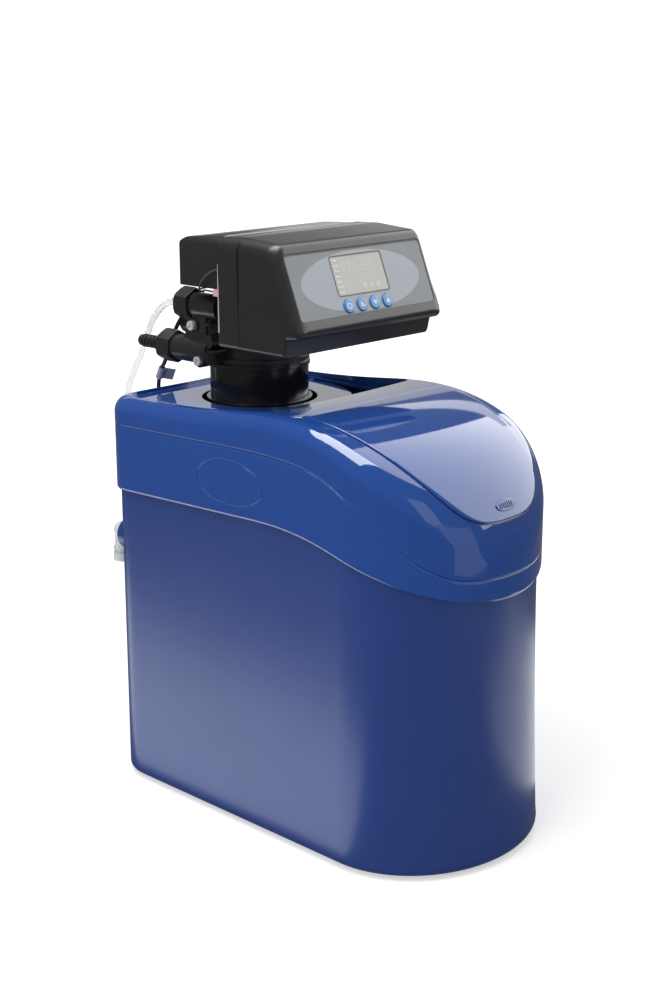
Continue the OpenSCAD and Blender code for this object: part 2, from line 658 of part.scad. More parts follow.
// injector with the brine and drain connections
inj_x = -61;
ear_x = -70;
nozzle_y = 112;
brine_z = collar_top + 55;
drain_z = collar_top + 12;
module injector_body() {
  color([0.08, 0.08, 0.08]) difference() {
    union() {
      along_y(inj_x, 90, brine_nut_y - 0.2, brine_z, 12);
      along_y(inj_x, 100, brine_nut_y + 12.6, brine_z, 9);
      along_y(inj_x, 104, drain_nut_y - 0.2, drain_z, 12.5);
      along_y(inj_x, 108, drain_nut_y + 10.4, drain_z, 9);
      difference() {
        union() {
          translate([inj_x - 7, 106, drain_z - 3]) cube([side_x - inj_x + 6, 22, 43]);
          translate([inj_x - 5, 102, drain_z + 7]) cube([side_x - inj_x + 4, 25, 27]);
          for (q = ear_at) along_x(ear_x, side_x - seat, q[0], q[1], 6.5);
          translate([inj_x - 5, 0, drain_z]) rotate([90, 0, 90]) linear_extrude(height = 12)
            polygon([[116, 4], [141, 4], [137, 16], [129.5, 25.8], [116, 25.8]]);
          along_x(inj_x - 9, side_x - 1, 102, drain_z + 11, 6.5);
          translate([inj_x - 9, 95, drain_z + 1]) cube([side_x - inj_x + 8, 13, 2.4]);
          translate([inj_x - 8, 100, drain_z + 26]) cube([side_x - inj_x + 7, 12, 2.4]);
        }
        along_y(inj_x, brine_nut_y - 0.4, brine_nut_y + 30, brine_z, nut_af / 2 / cos(30) + 0.4);
      }
    }
    translate([side_x - seat, 80, drain_z - 40]) cube([40, 120, 130]);
    for (q = ear_at) {
      along_x(ear_x - 1, side_x + 1, q[0], q[1], screw_r + 0.2);
      along_x(ear_x - 30, ear_x, q[0], q[1], 5.2);
    }
    along_y(inj_x, 100, 150, brine_z, 5);
    along_y(inj_x, 108, 190, drain_z, 5);
    translate([inj_x, nozzle_y, drain_z]) cylinder(r = 4.5, h = brine_z - drain_z);
  }
}
module injector_nozzle() {
  color([0.85, 0.75, 0.2]) translate([inj_x, nozzle_y, drain_z + 7]) difference() {
    cylinder(r = 4.3, h = 26);
    translate([0, 0, -1]) cylinder(r1 = 2.4, r2 = 1, h = 28.5);
  }
}
module injector_screws() {
  color([0.8, 0.8, 0.82]) for (q = ear_at) difference() {
    union() {
      along_x(ear_x - 3.6, ear_x - seat, q[0], q[1], 4.5);
      along_x(ear_x - 1, side_x + ear_depth - 1, q[0], q[1], screw_r);
    }
    for (a = [45, 135]) translate([ear_x - 3.2, q[0], q[1]]) rotate([a, 0, 0]) cube([2.4, 6, 1.1], center = true);
  }
}
module side_nut(y, z, r_in) {
  translate([inj_x, y, z]) rotate([-90, 0, 0]) difference() {
    intersection() {
      rotate([0, 0, 30]) cylinder(r = nut_af / 2 / cos(30), h = 18, $fn = 6);
      union() {
        cylinder(r1 = nut_af / 2 + 0.6, r2 = nut_af / 2 + 2.2, h = 1.6);
        translate([0, 0, 1.6]) cylinder(r = nut_af / 2 + 2.2, h = 14.6);
        translate([0, 0, 16.2]) cylinder(r1 = nut_af / 2 + 2.2, r2 = nut_af / 2 + 0.4, h = 1.8);
      }
    }
    translate([0, 0, -1]) cylinder(r = 9 + seat, h = 14);
    translate([0, 0, -1]) cylinder(r = r_in, h = 20);
  }
}
brine_nut_y = 125.6;
drain_nut_y = 152.6;
module brine_nut() {
  color([0.08, 0.08, 0.08]) side_nut(brine_nut_y, brine_z, tube_d / 2 + 0.4);
}
module drain_nut() {
  color([0.08, 0.08, 0.08]) side_nut(drain_nut_y, drain_z, barb_r + 0.3);
}
barb_len = 43;
module drain_barb() {
  color([0.07, 0.07, 0.07]) translate([inj_x, drain_nut_y + 10.6, drain_z]) rotate([-90, 0, 0]) difference() {
    union() {
      cylinder(r = 8.4, h = 2);
      cylinder(r = barb_r, h = barb_len);
      for (i = [0:6]) translate([0, 0, 8.4 + 4.9 * i]) cylinder(r1 = barb_r + 0.9, r2 = barb_r - 0.2, h = 4.5);
    }
    translate([0, 0, -1]) cylinder(r = 3.6, h = 60);
  }
}

// control head: side outline in Y and Z, front outline in X and Z
head_top = disc_z + 59;
head_low = disc_z - 41;
lip_at = [-36.5, disc_z - 17.5];
crown_at = [-9.65, disc_z + 49];
lip_r = 7;
seam_y = 30;
// fall of the top behind the seam
top_fall = 0.05;
panel_tilt = 22;
function arc(cx, cz, r, a0, a1, n) = [for (i = [0:n]) let (a = a0 + (a1 - a0) * i / n) [cx + r * cos(a), cz + r * sin(a)]];
function side_pts(g) = concat(
  [[frame_y, head_low + g]],
  [[frame_y, head_top - top_fall * (frame_y - seam_y) - g]],
  [[seam_y, head_top - g]],
  arc(crown_at[0] + g * 0.9, crown_at[1] - g * 0.45, lip_r, 94, 180 - panel_tilt, 4),
  arc(lip_at[0] + g * 1.1, lip_at[1] + g * 0.1, lip_r, 180 - panel_tilt, 250, 5),
  [[lip_at[0] + 8.5 + g, lip_at[1] - lip_r - 1 + g]],
  [[lip_at[0] + 12 + g, head_low + g]]);
function front_pts(g) = let (w = head_w / 2 - g) concat(
  arc(w - 12, head_top - 13 - g, 13, 0, 90, 6),
  arc(-w + 12, head_top - 13 - g, 13, 90, 180, 6),
  arc(-w + 5, head_low + 5 + g, 5, 180, 270, 3),
  arc(w - 5, head_low + 5 + g, 5, 270, 360, 3));
module head_solid(g) {
  intersection() {
    translate([-150, 0, 0]) rotate([90, 0, 90]) linear_extrude(height = 300) polygon(side_pts(g));
    translate([0, 150, 0]) rotate([90, 0, 0]) linear_extrude(height = 300) polygon(front_pts(g));
  }
}
panel_o = [0, -28.5, disc_z + 19];
module on_panel(dz) {
  translate(panel_o) rotate([90 - panel_tilt, 0, 0]) translate([0, 0, dz]) children();
}
panel_h = 61;
panel_w = 179;
panel_r = 4;
module panel_plan(g) {
  w = panel_w / 2 - g - panel_r;
  h = panel_h / 2 - g - panel_r;
  polygon(concat(arc(w, -h, panel_r, 270, 360, 4), arc(w, h, panel_r, 0, 90, 4),
                 arc(-w, h, panel_r, 90, 180, 4), arc(-w, -h, panel_r, 180, 270, 4)));
}
lcd_at = [-1.1, 5.6];
lcd_w = 66.5;
lcd_h = 35.5;
button_y = -22.4;
function button_x(i) = lcd_at[0] + (i - 1.5) * button_pitch;
module head_front_cover() {
  color([0.08, 0.08, 0.08]) difference() {
    intersection() {
      head_solid(0);
      translate([-150, -100, 400]) cube([300, 100 + seam_y, 200]);
    }
    intersection() {
      head_solid(head_wall);
      translate([-150, -100, 400]) cube([300, 240, 200]);
    }
    on_panel(-1.6) linear_extrude(height = 20) panel_plan(0);
    on_panel(-20) linear_extrude(height = 40) panel_plan(4.5);
    for (i = [0:3]) on_panel(-20) translate([button_x(i), button_y, 0]) cylinder(r = button_r + 1.3 + clear, h = 40);
    for (s = [-1, 1]) translate([s * head_w / 2, seam_y + 0.1, disc_z]) cube([0.8, 1.2, 3 * panel_h], center = true);
  }
}
module head_frame() {
  color([0.08, 0.08, 0.08]) difference() {
    union() {
      difference() {
        intersection() {
          head_solid(0);
          translate([-150, seam_y + 0.3, 400]) cube([300, 100, 200]);
        }
        intersection() {
          head_solid(head_wall);
          translate([-150, 0, 400]) cube([300, frame_y - 3, 200]);
        }
      }
      for (s = [-1, 1]) along_y(s * 80, frame_y - 12, frame_y - 1, disc_z + 30, 4);
    }
    along_y(0, 40, 80, disc_z, stem_r + run);
    for (s = [-1, 1]) along_y(s * 80, frame_y - 20, frame_y + 10, disc_z + 30, 1.6);
    along_y(sensor_path[0][0], frame_y - 6, frame_y + 4, sensor_path[0][2], 2);
    along_y(gland_at[0], frame_y - 6, frame_y + 4, gland_at[1], lead_d / 2 + 1.2);
  }
}
rear_left = head_w / 2 - 12;
rear_right = head_w / 2 - 1;
rear_low = disc_z + 9;
rear_end = 125;
rear_top = head_top - top_fall * (frame_y - seam_y) - 0.2;
function rear_pts(g) = concat(
  [[rear_right - g, rear_low - 1]],
  arc(rear_right - 13 - g, rear_top - 14 - g, 14, 0, 90, 6),
  arc(-rear_left + 13 + g, rear_top - 14 - g, 14, 90, 180, 6),
  [[-rear_left + g, rear_low - 1]]);
function rear_plan_pts(g) = concat(
  [[rear_right - g, frame_y + 0.2]],
  arc(rear_right - 8 - g, rear_end - 8 - g, 8, 0, 90, 5),
  arc(-rear_left + 8 + g, rear_end - 8 - g, 8, 90, 180, 5),
  [[-rear_left + g, frame_y + 0.2]]);
function rear_side_pts(g) = concat(
  [[frame_y - 1, rear_low + (g > 0 ? -5 : 0)], [rear_end + 1, rear_low + (g > 0 ? -5 : 0)]],
  arc(rear_end - 18 - g, rear_top - top_fall * (rear_end - frame_y) - 18 - g, 18, 0, 87, 6),
  [[frame_y - 1, rear_top - g]]);
module rear_solid(g) {
  intersection() {
    translate([0, 200, 0]) rotate([90, 0, 0]) linear_extrude(height = 300) polygon(rear_pts(g));
    translate([0, 0, 400]) linear_extrude(height = 200) polygon(rear_plan_pts(g));
    translate([-150, 0, 0]) rotate([90, 0, 90]) linear_extrude(height = 300) polygon(rear_side_pts(g));
  }
}
module head_rear_cover() {
  color([0.09, 0.09, 0.09]) difference() {
    rear_solid(0);
    rear_solid(head_wall);
  }
}
module head_screws() {
  color([0.75, 0.75, 0.78]) for (s = [-1, 1]) {
    along_y(s * 80, frame_y - 11, frame_y + 0.1, disc_z + 30, 1.5);
    along_y(s * 80, frame_y + 0.1, frame_y + 2.4, disc_z + 30, 3);
  }
}

// panel, display and buttons
module panel_fascia() {
  color([0.5, 0.52, 0.54]) on_panel(-1.5) difference() {
    linear_extrude(height = 1.5) panel_plan(0.3);
    translate([lcd_at[0] - lcd_w / 2, lcd_at[1] - lcd_h / 2, -1]) cube([lcd_w, lcd_h, 4]);
    for (i = [0:3]) translate([button_x(i), button_y, -1]) cylinder(r = button_r + clear, h = 4);
  }
}
module display_window() {
  color([0.75, 0.74, 0.7]) on_panel(-1.5) translate([lcd_at[0] - lcd_w / 2 + 0.2, lcd_at[1] - lcd_h / 2 + 0.2, 0])
    cube([lcd_w - 0.4, lcd_h - 0.4, 1.3]);
}
module display_module() {
  color([0.7, 0.69, 0.64]) on_panel(-8.5) translate([lcd_at[0] - lcd_w / 2 - 2, lcd_at[1] - lcd_h / 2 - 2, 0])
    cube([lcd_w + 4, lcd_h + 4, 6.8]);
}
module display_board() {
  color([0.1, 0.35, 0.15]) on_panel(-10.2) {
    translate([-panel_w / 2 + 19, -panel_h / 2 + 3.5, 0]) cube([panel_w - 38, panel_h - 7, 1.6]);
    for (i = [0:3]) translate([button_x(i) - 3, button_y - 3, 1.6]) cube([6, 6, 1.8]);
  }
}
module button(i) {
  color([0.2, 0.5, 0.8]) on_panel(0) translate([button_x(i), button_y, 0]) {
    translate([0, 0, -3.4]) cylinder(r = button_r, h = 4.4);
    translate([0, 0, 1]) cylinder(r1 = button_r, r2 = button_r - 0.9, h = 0.7);
    translate([0, 0, -3.4]) cylinder(r = button_r + 1.3, h = 1.4);
    translate([0, 0, -5]) cylinder(r = 2, h = 2);
  }
}
module button_menu() {
  button(0);
}
module button_manual() {
  button(1);
}
module button_down() {
  button(2);
}
module button_up() {
  button(3);
}

// drive train
tooth = 1.5;
gear_y = frame_y - 10;
gear_r = gear_teeth * tooth / 2;
pinion_r = pinion_teeth * tooth / 2;
motor_x = gear_r + pinion_r;
module gear_plan(n, turn) {
  r = n * tooth / 2;
  rotate([0, 0, turn]) polygon([for (i = [0:n - 1]) for (c = [[-0.34, -1.3], [-0.12, 0.85], [0.12, 0.85], [0.34, -1.3]])
    let (a = 360 * (i + c[0]) / n, q = r + c[1] * tooth) [q * cos(a), q * sin(a)]]);
}
module drive_gear() {
  color([0.9, 0.9, 0.85]) translate([0, gear_y, disc_z]) rotate([90, 0, 0]) difference() {
    linear_extrude(height = 8) gear_plan(gear_teeth, 0);
    translate([0, 0, -1]) cylinder(r = stem_r + seat, h = 12);
    for (a = [0:60:300]) rotate([0, 0, a]) translate([20, 0, -1]) cylinder(r = 5, h = 12);
  }
}
module motor_pinion() {
  color([0.9, 0.9, 0.85]) translate([motor_x, gear_y + 0.5, disc_z]) rotate([90, 0, 0]) difference() {
    linear_extrude(height = 9) gear_plan(pinion_teeth, pinion_teeth % 2 == 0 ? 180 / pinion_teeth : 0);
    translate([0, 0, -1]) cylinder(r = 2 + run, h = 12);
  }
}
module drive_motor() {
  color([0.3, 0.3, 0.32]) {
    along_y(motor_x, gear_y - 36, gear_y - 10, disc_z, 14);
    along_y(motor_x, gear_y - 10, gear_y + 1.5, disc_z, 2);
    translate([motor_x - 20, gear_y - 14, disc_z - 4]) cube([40, 3.5, 8]);
  }
}
stem_r = 4.9;
module valve_stem() {
  color([0.75, 0.75, 0.78]) {
    along_y(0, gear_y - 9, 85, disc_z, stem_r);
    along_y(0, 84, 86, disc_z, 12);
  }
}
module moving_disc() {
  color([0.92, 0.9, 0.85]) difference() {
    along_y(0, 86.1, 91, disc_z, 26);
    translate([0, 80, disc_z + 9]) cube([18, 40, 8]);
  }
}
module fixed_disc() {
  color([0.85, 0.83, 0.78]) difference() {
    along_y(0, 91.4, 95.9, disc_z, 28.9);
    for (a = [0:90:270]) translate([0, 80, disc_z]) rotate([0, a, 0]) translate([15, 0, 0]) rotate([-90, 0, 0]) cylinder(r = 6, h = 40);
  }
}

// tubes and leads
function unit(v) = v / norm(v);
function near_pt(p, i) = p[max(0, min(len(p) - 1, i))];
function curve(p, n) = concat(
  [for (i = [0:len(p) - 2]) for (k = [0:n - 1]) let (t = k / n,
    a = near_pt(p, i - 1), b = p[i], c = p[i + 1], d = near_pt(p, i + 2))
    0.5 * (2 * b + (c - a) * t + (2 * a - 5 * b + 4 * c - d) * t * t + (3 * b - a - 3 * c + d) * t * t * t)],
  [p[len(p) - 1]]);
function side_of(t, u) = unit(u - t * (u * t));
function frames(p, i, u) = i >= len(p) ? [] :
  let (t = unit(near_pt(p, i + 1) - near_pt(p, i - 1)), s = side_of(t, u)) concat([[s, cross(t, s)]], frames(p, i + 1, s));
module tube_on(p, d, n, up) {
  f = frames(p, 0, up);
  m = len(p);
  polyhedron(
    points = [for (i = [0:m - 1]) for (k = [0:n - 1]) let (a = 360 * k / n)
      p[i] + (f[i][0] * cos(a) + f[i][1] * sin(a)) * d / 2],
    faces = concat(
      [[for (k = [0:n - 1]) k]],
      [for (i = [0:m - 2]) for (e = band(i * n, (i + 1) * n, n)) e],
      [[for (k = [n - 1:-1:0]) (m - 1) * n + k]]),
    convexity = 10);
}
function path_len(p) = [for (i = [1:len(p) - 1]) norm(p[i] - p[i - 1])] * [for (i = [1:len(p) - 1]) 1];

// clear tube from the injector to the rear wall
tube_path = [[inj_x, 134, brine_z], [inj_x, 142, brine_z], [inj_x, 152, brine_z], [-60, 166, 477], [-58, 180, 470],
             [-54, 195, 459], [-50, 207, 447], [-48, 215.5, 435], [-50, 221, 420], [-57, 224, 404], [-66, 224.5, 384], [-70, 222, 350],
             [-64, 219, 310], [-55, 216, 284], [-50, 212, 273], [-50, 205, 272], [-50, 198, 272], [-50, 190, 272]];
module brine_tube() {
  color([0.9, 0.92, 0.92]) tube_on(curve(tube_path, 3), tube_d, 10, [1, 0, 0]);
}
module tube_grommet() {
  y = rear_face(grommet_z);
  color([0.08, 0.08, 0.08]) difference() {
    union() {
      along_y(grommet_x, y - wall - 1, y + 1, grommet_z, grommet_r - seat);
      along_y(grommet_x, y + 0.2, y + 2.8, grommet_z, grommet_r + 3);
    }
    along_y(grommet_x, y - wall - 2, y + 4, grommet_z, tube_d / 2 + 0.35);
  }
}

// thin sensor leads between the frame and the valve
wire_d = 1.8;
sensor_path = [for (q = [[-91, 53.5, 29], [-91, 61, 28.4], [-90, 74, 25], [-90, 86, 16], [-88, 92, 7], [-76, 104, 5],
                         [-60, 113, 4], [-36, 116, 3]]) q + [0, 0, disc_z]];
plug_path = [for (q = [[-90, 68.2, 7], [-87, 82, 7], [-80, 95, 5], [-72, 104, 2.5]]) q + [0, 0, disc_z]];
module sensor_lead() {
  color([0.05, 0.05, 0.05]) {
    tube_on(curve(sensor_path, 4), wire_d, 8, [0, 0, 1]);
    tube_on(curve(plug_path, 4), wire_d, 8, [0, 0, 1]);
  }
}
module sensor_plug() {
  color([0.9, 0.6, 0.62]) translate([-93, frame_y + 0.1, disc_z + 4]) cube([6, 11.8, 6]);
}

// supply lead: gland, run down the back, coil on the floor, tail and adapter
gland_at = [-46, disc_z - 8];
lead_path = [[gland_at[0], 51, gland_at[1]], [gland_at[0], 70, gland_at[1]], [gland_at[0], 92, gland_at[1]], [-44, 112, 483.5],
             [-43, 128, 481.5], [-43, 143, 477], [-45, 164, 462],
             [-44, 180, 441], [-42, 194, 416], [-40, 202, 406], [-39, 208, 395], [-39, 210, 382], [-39, 212, 340],
             [-39, 213, 250], [-39, 215, 180], [-39, 218, 110], [-40, 224, 60], [-41, 232, 26], [-40, 242, 9],
             [-35.6, 249, 4], [-35, 253.6, 3.5]];
coil_at = [-4, 258];
coil_r = 31;
coil_in = 3;
coil_gap = 0.5;
coil_step = lead_d + coil_gap;
coil_z = 3.5;
coil_n = 24;
coil_end = coil_n * (2 * coil_in + 0.5);
coil_turns = [for (i = [0:coil_end]) let (
    t = i / coil_n,
    r = coil_r - coil_step * (t < coil_in ? t : 2 * coil_in - t),
    z = coil_z + coil_step * clamp01((t - coil_in + 0.25) / 0.5),
    a = 180 - 360 * t)
  [coil_at[0] + r * cos(a), coil_at[1] + r * sin(a), z]];
coil_path = concat([coil_turns[0] - [0, lead_d, 0]], coil_turns, [coil_turns[coil_end] - [0, lead_d, 0]]);
coil_own_gap = min([for (i = [0:coil_end]) for (j = [i + 8:coil_end]) norm(coil_turns[i] - coil_turns[j])]) - lead_d;
echo(coil_own_gap = coil_own_gap);
tail_path = [[29.25, 253.6, 8], [29.25, 249, 8], [32, 241, 9.6], [39, 235.4, 11.4], [47, 234, 12], [53, 234, 12], [58, 234, 12]];
module power_lead() {
  color([0.04, 0.04, 0.04]) tube_on(curve(lead_path, 3), lead_d, 8, [1, 0, 0]);
}
module lead_coil() {
  color([0.04, 0.04, 0.04]) tube_on(coil_path, lead_d, 6, [0, 0, 1]);
}
module lead_tail() {
  color([0.04, 0.04, 0.04]) tube_on(curve(tail_path, 3), lead_d, 8, [0, 0, 1]);
}
module lead_gland() {
  color([0.05, 0.05, 0.05]) translate([gland_at[0], frame_y + 0.1, gland_at[1]]) rotate([-90, 0, 0]) difference() {
    union() {
      cylinder(r = 6, h = 3);
      cylinder(r1 = 4.6, r2 = lead_d / 2 + 1, h = 26);
    }
    translate([0, 0, -1]) cylinder(r = lead_d / 2 + 0.15, h = 40);
  }
}
module lead_tag() {
  color([0.45, 0.5, 0.6]) translate([-39.7, 205, 400.5]) rotate([27, 0, 0]) rotate([0, 0, -30]) translate([0, 0, -6.2]) difference() {
    union() {
      cylinder(r = lead_d / 2 + 1.5, h = 12.4);
      translate([0, -0.4, 0]) cube([14, 0.8, 12.4]);
    }
    translate([0, 0, -1]) cylinder(r = lead_d / 2 + 0.8, h = 20);
  }
}
module coil_tie() {
  w = coil_step * (coil_in + 1);
  color([0.05, 0.05, 0.05]) translate([coil_at[0], coil_at[1] - coil_r + coil_step * coil_in / 2, 0]) difference() {
    translate([-1.5, -w / 2 - 3, 0.1]) cube([3, w + 6, 12.4]);
    translate([-3, -w / 2 - 2, 1.1]) cube([6, w + 4, 10.4]);
  }
}
module power_adapter() {
  color([0.06, 0.06, 0.06]) difference() {
    union() {
      translate([54, 219, 0]) cube([50, 36, 26]);
      translate([104, 222, 3]) cube([4, 30, 20]);
      for (y = [227.5, 246.5]) along_x(106, 125, y, 13, 2);
      translate([44, 234, 12]) rotate([0, 90, 0]) cylinder(r1 = lead_d / 2 + 1, r2 = 4.4, h = 11);
    }
    along_x(40, 60, 234, 12, lead_d / 2 + 0.4);
  }
}
echo(lead_mm = path_len(curve(lead_path, 3)) + path_len(coil_path) + path_len(curve(tail_path, 3)));
echo(tube_mm = path_len(curve(tube_path, 3)));

cabinet_body();
foot_pads();
cover_skirt();
top_cover();
lid_hinge_pins();
salt_lid();
overflow_elbow();
overflow_gasket();
overflow_nut();
resin_tank();
tank_foot();
tank_collar();
base_seal();
riser_tube();
bottom_distributor();
top_distributor();
resin_bed();
brine_well();
brine_well_cap();
float_rod();
brine_float();
valve_body();
inlet_union();
outlet_union();
meter_impeller();
injector_body();
injector_nozzle();
injector_screws();
brine_nut();
drain_nut();
drain_barb();
head_front_cover();
head_frame();
head_rear_cover();
head_screws();
panel_fascia();
display_window();
display_module();
display_board();
button_menu();
button_manual();
button_down();
button_up();
drive_gear();
motor_pinion();
drive_motor();
valve_stem();
moving_disc();
fixed_disc();
brine_tube();
tube_grommet();
sensor_lead();
power_lead();
sensor_plug();
lead_gland();
lead_tag();
lead_coil();
coil_tie();
lead_tail();
power_adapter();
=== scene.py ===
"""Looks of the water softener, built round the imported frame. Lengths in the formulas are millimetres."""

import json
import math

import bmesh
import bpy
import numpy as np
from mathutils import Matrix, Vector


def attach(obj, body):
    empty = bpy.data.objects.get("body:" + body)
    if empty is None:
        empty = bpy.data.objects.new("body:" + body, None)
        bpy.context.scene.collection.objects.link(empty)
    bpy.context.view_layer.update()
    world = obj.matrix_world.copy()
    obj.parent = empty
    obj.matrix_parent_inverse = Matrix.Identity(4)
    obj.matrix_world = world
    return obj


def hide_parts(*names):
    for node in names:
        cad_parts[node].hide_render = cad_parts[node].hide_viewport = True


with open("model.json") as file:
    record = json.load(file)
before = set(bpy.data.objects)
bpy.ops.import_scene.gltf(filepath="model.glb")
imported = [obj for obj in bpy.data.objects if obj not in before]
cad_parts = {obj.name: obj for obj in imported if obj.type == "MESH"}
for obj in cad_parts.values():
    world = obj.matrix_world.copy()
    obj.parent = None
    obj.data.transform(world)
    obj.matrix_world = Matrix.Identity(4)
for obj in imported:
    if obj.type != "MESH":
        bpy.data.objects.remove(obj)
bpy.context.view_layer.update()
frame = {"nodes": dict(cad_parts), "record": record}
scene = bpy.context.scene
nodes = frame["nodes"]
MM = 0.001
TURN = 2 * math.pi
QUARTER = math.pi / 2
ROD_SIDES = 48


# mesh helpers
def add_object(name, data):
    ob = bpy.data.objects.new(name, data)
    scene.collection.objects.link(ob)
    return ob


def make(name, verts, faces):
    mesh = bpy.data.meshes.new(name)
    mesh.from_pydata((np.asarray(verts, float) * MM).tolist(), [], faces)
    mesh.update()
    return add_object(name, mesh)


def bands(n, m, start=0, closed=False):
    """Faces between m rings of n points each, and from the last ring to the first if closed."""
    faces = []
    for k in range(m if closed else m - 1):
        a = start + k * n
        b = start + (k + 1) % m * n
        faces += [(a + i, a + (i + 1) % n, b + (i + 1) % n, b + i) for i in range(n)]
    return faces


def ends(n, m):
    """Caps on the first and the last of m rings of n points each."""
    return [tuple(range(n)), tuple(range((m - 1) * n, m * n))]


def outward(ob):
    bm = bmesh.new()
    bm.from_mesh(ob.data)
    bmesh.ops.recalc_face_normals(bm, faces=bm.faces)
    bm.to_mesh(ob.data)
    bm.free()
    return ob


def smooth(ob, angle):
    mesh = ob.data
    mesh.polygons.foreach_set("use_smooth", [True] * len(mesh.polygons))
    mesh.set_sharp_from_angle(angle=math.radians(angle))
    mesh.update()
    return ob


def drop(ob):
    mesh = ob.data
    bpy.data.objects.remove(ob)
    bpy.data.meshes.remove(mesh)


def bake(ob):
    graph = bpy.context.evaluated_depsgraph_get()
    mesh = bpy.data.meshes.new_from_object(ob.evaluated_get(graph))
    old = ob.data
    ob.modifiers.clear()
    ob.data = mesh
    bpy.data.meshes.remove(old)


def cut(ob, tool, how="DIFFERENCE"):
    mod = ob.modifiers.new("cut", "BOOLEAN")
    mod.operation = how
    mod.solver = "MANIFOLD"
    mod.object = tool
    bake(ob)
    drop(tool)
    return ob


def join(name, obs):
    bm = bmesh.new()
    for ob in obs:
        bm.from_mesh(ob.data)
    mesh = bpy.data.meshes.new(name)
    bm.to_mesh(mesh)
    bm.free()
    for ob in obs:
        drop(ob)
    return add_object(name, mesh)


def prism(name, outline, place, h0, h1):
    """A solid over an outline of (u, v), between two heights, put in space by place(u, v, h)."""
    n = len(outline)
    verts = [place(u, v, h) for h in (h0, h1) for u, v in outline]
    faces = bands(n, 2) + [tuple(range(n - 1, -1, -1)), tuple(range(n, 2 * n))]
    return outward(make(name, verts, faces))


def flat(u, v, h):
    return (u, v, h)


def circle(r, n, cu=0.0, cv=0.0, rv=None):
    a = np.linspace(0, TURN, n, endpoint=False)
    return [(cu + r * math.cos(t), cv + (rv or r) * math.sin(t)) for t in a]


def rounded(w, h, r, cu=0.0, cv=0.0, n=6):
    out = []
    for sx, sy, a0 in ((1, -1, -90), (1, 1, 0), (-1, 1, 90), (-1, -1, 180)):
        for i in range(n + 1):
            a = math.radians(a0 + 90 * i / n)
            u = cu + sx * (w / 2 - r) + r * math.cos(a)
            out.append((u, cv + sy * (h / 2 - r) + r * math.sin(a)))
    return out


def block(name, x0, x1, y0, y1, z0, z1):
    return prism(name, [(x0, y0), (x1, y0), (x1, y1), (x0, y1)], flat, z0, z1)


def rod_x(name, x0, x1, y, z, r, n=ROD_SIDES):
    return prism(name, circle(r, n, y, z), lambda u, v, h: (h, u, v), x0, x1)


def rod_y(name, x, y0, y1, z, r):
    return prism(name, circle(r, ROD_SIDES, x, z), lambda u, v, h: (u, h, v), y0, y1)


def rod_z(name, x, y, z0, z1, r, n=96):
    return prism(name, circle(r, n, x, y), flat, z0, z1)


def lathe(name, profile, place, n):
    """A turned form: a profile of (radius, height) from end to end, put in space by place(u, v, h)."""
    verts = []
    for r, h in profile:
        for i in range(n):
            a = TURN * i / n
            verts.append(place(r * math.cos(a), r * math.sin(a), h))
    m = len(profile)
    return outward(make(name, verts, bands(n, m) + ends(n, m)))


def catmull(points, steps):
    """Smooth curve through the points, with so many steps from each to the next."""
    p = np.asarray(points, float)
    out = []
    for i in range(len(p) - 1):
        a, b, c, d = p[max(i - 1, 0)], p[i], p[i + 1], p[min(i + 2, len(p) - 1)]
        for k in range(steps):
            t = k / steps
            out.append(0.5 * (2 * b + (c - a) * t + (2 * a - 5 * b + 4 * c - d) * t * t
                              + (3 * b - a - 3 * c + d) * t ** 3))
    out.append(p[-1])
    return np.array(out)


def tube(name, path, radii, n, up):
    """Tube walls along a path. radii lists the outer radius and, for a hollow tube, the inner one."""
    p = np.asarray(path, float)
    t = np.gradient(p, axis=0)
    t /= np.linalg.norm(t, axis=1)[:, None]
    side = np.asarray(up, float)
    sides = []
    for tt in t:
        side = side - tt * side.dot(tt)
        side /= np.linalg.norm(side)
        sides.append((side, np.cross(tt, side)))
    verts, faces, first = [], [], []
    for r in radii:
        first.append(len(verts))
        for q, (s, b) in zip(p, sides):
            for k in range(n):
                a = TURN * k / n
                verts.append(q + (s * math.cos(a) + b * math.sin(a)) * r)
    m = len(p)
    for o in first:
        faces += bands(n, m, o)
    if len(first) == 1:
        faces += ends(n, m)
    else:
        for e in (0, (m - 1) * n):
            outer, inner = first[0] + e, first[1] + e
            for k in range(n):
                j = (k + 1) % n
                faces.append((outer + k, outer + j, inner + j, inner + k))
    return outward(make(name, verts, faces))


# camera at the photograph's place: direction in degrees, place in metres
CAMERA_AZ, CAMERA_EL = -46.84, 15.64
CAMERA_PLACE = (-1.06531, -0.99235, 0.70728)
CAMERA_LENS, CAMERA_SENSOR = 57.6, 36


def set_camera():
    data = bpy.data.cameras.new("camera")
    cam = add_object("camera", data)
    a, e = math.radians(CAMERA_AZ), math.radians(CAMERA_EL)
    back = Vector((math.sin(a) * math.cos(e), -math.cos(a) * math.cos(e), math.sin(e)))
    cam.location = CAMERA_PLACE
    cam.rotation_mode = "QUATERNION"
    cam.rotation_quaternion = back.to_track_quat("Z", "Y")
    data.sensor_fit = "VERTICAL"
    data.sensor_height = CAMERA_SENSOR
    data.sensor_width = CAMERA_SENSOR
    data.lens = CAMERA_LENS
    data.clip_start = 0.05
    data.clip_end = 50
    scene.camera = cam


# materials
GRAIN_DEPTH = 0.0002
COAT_ROUGH = 0.03
EDGE_SAMPLES = 6


def node(tree, kind, **values):
    n = tree.nodes.new(kind)
    for k, v in values.items():
        setattr(n, k, v)
    return n


def calc(tree, operation, a, b, clamp=False):
    """Math node on two inputs, each an output of another node or a number."""
    n = node(tree, "ShaderNodeMath", operation=operation, use_clamp=clamp)
    for socket, value in zip(n.inputs, (a, b)):
        if isinstance(value, bpy.types.NodeSocket):
            tree.links.new(value, socket)
        else:
            socket.default_value = value
    return n.outputs[0]


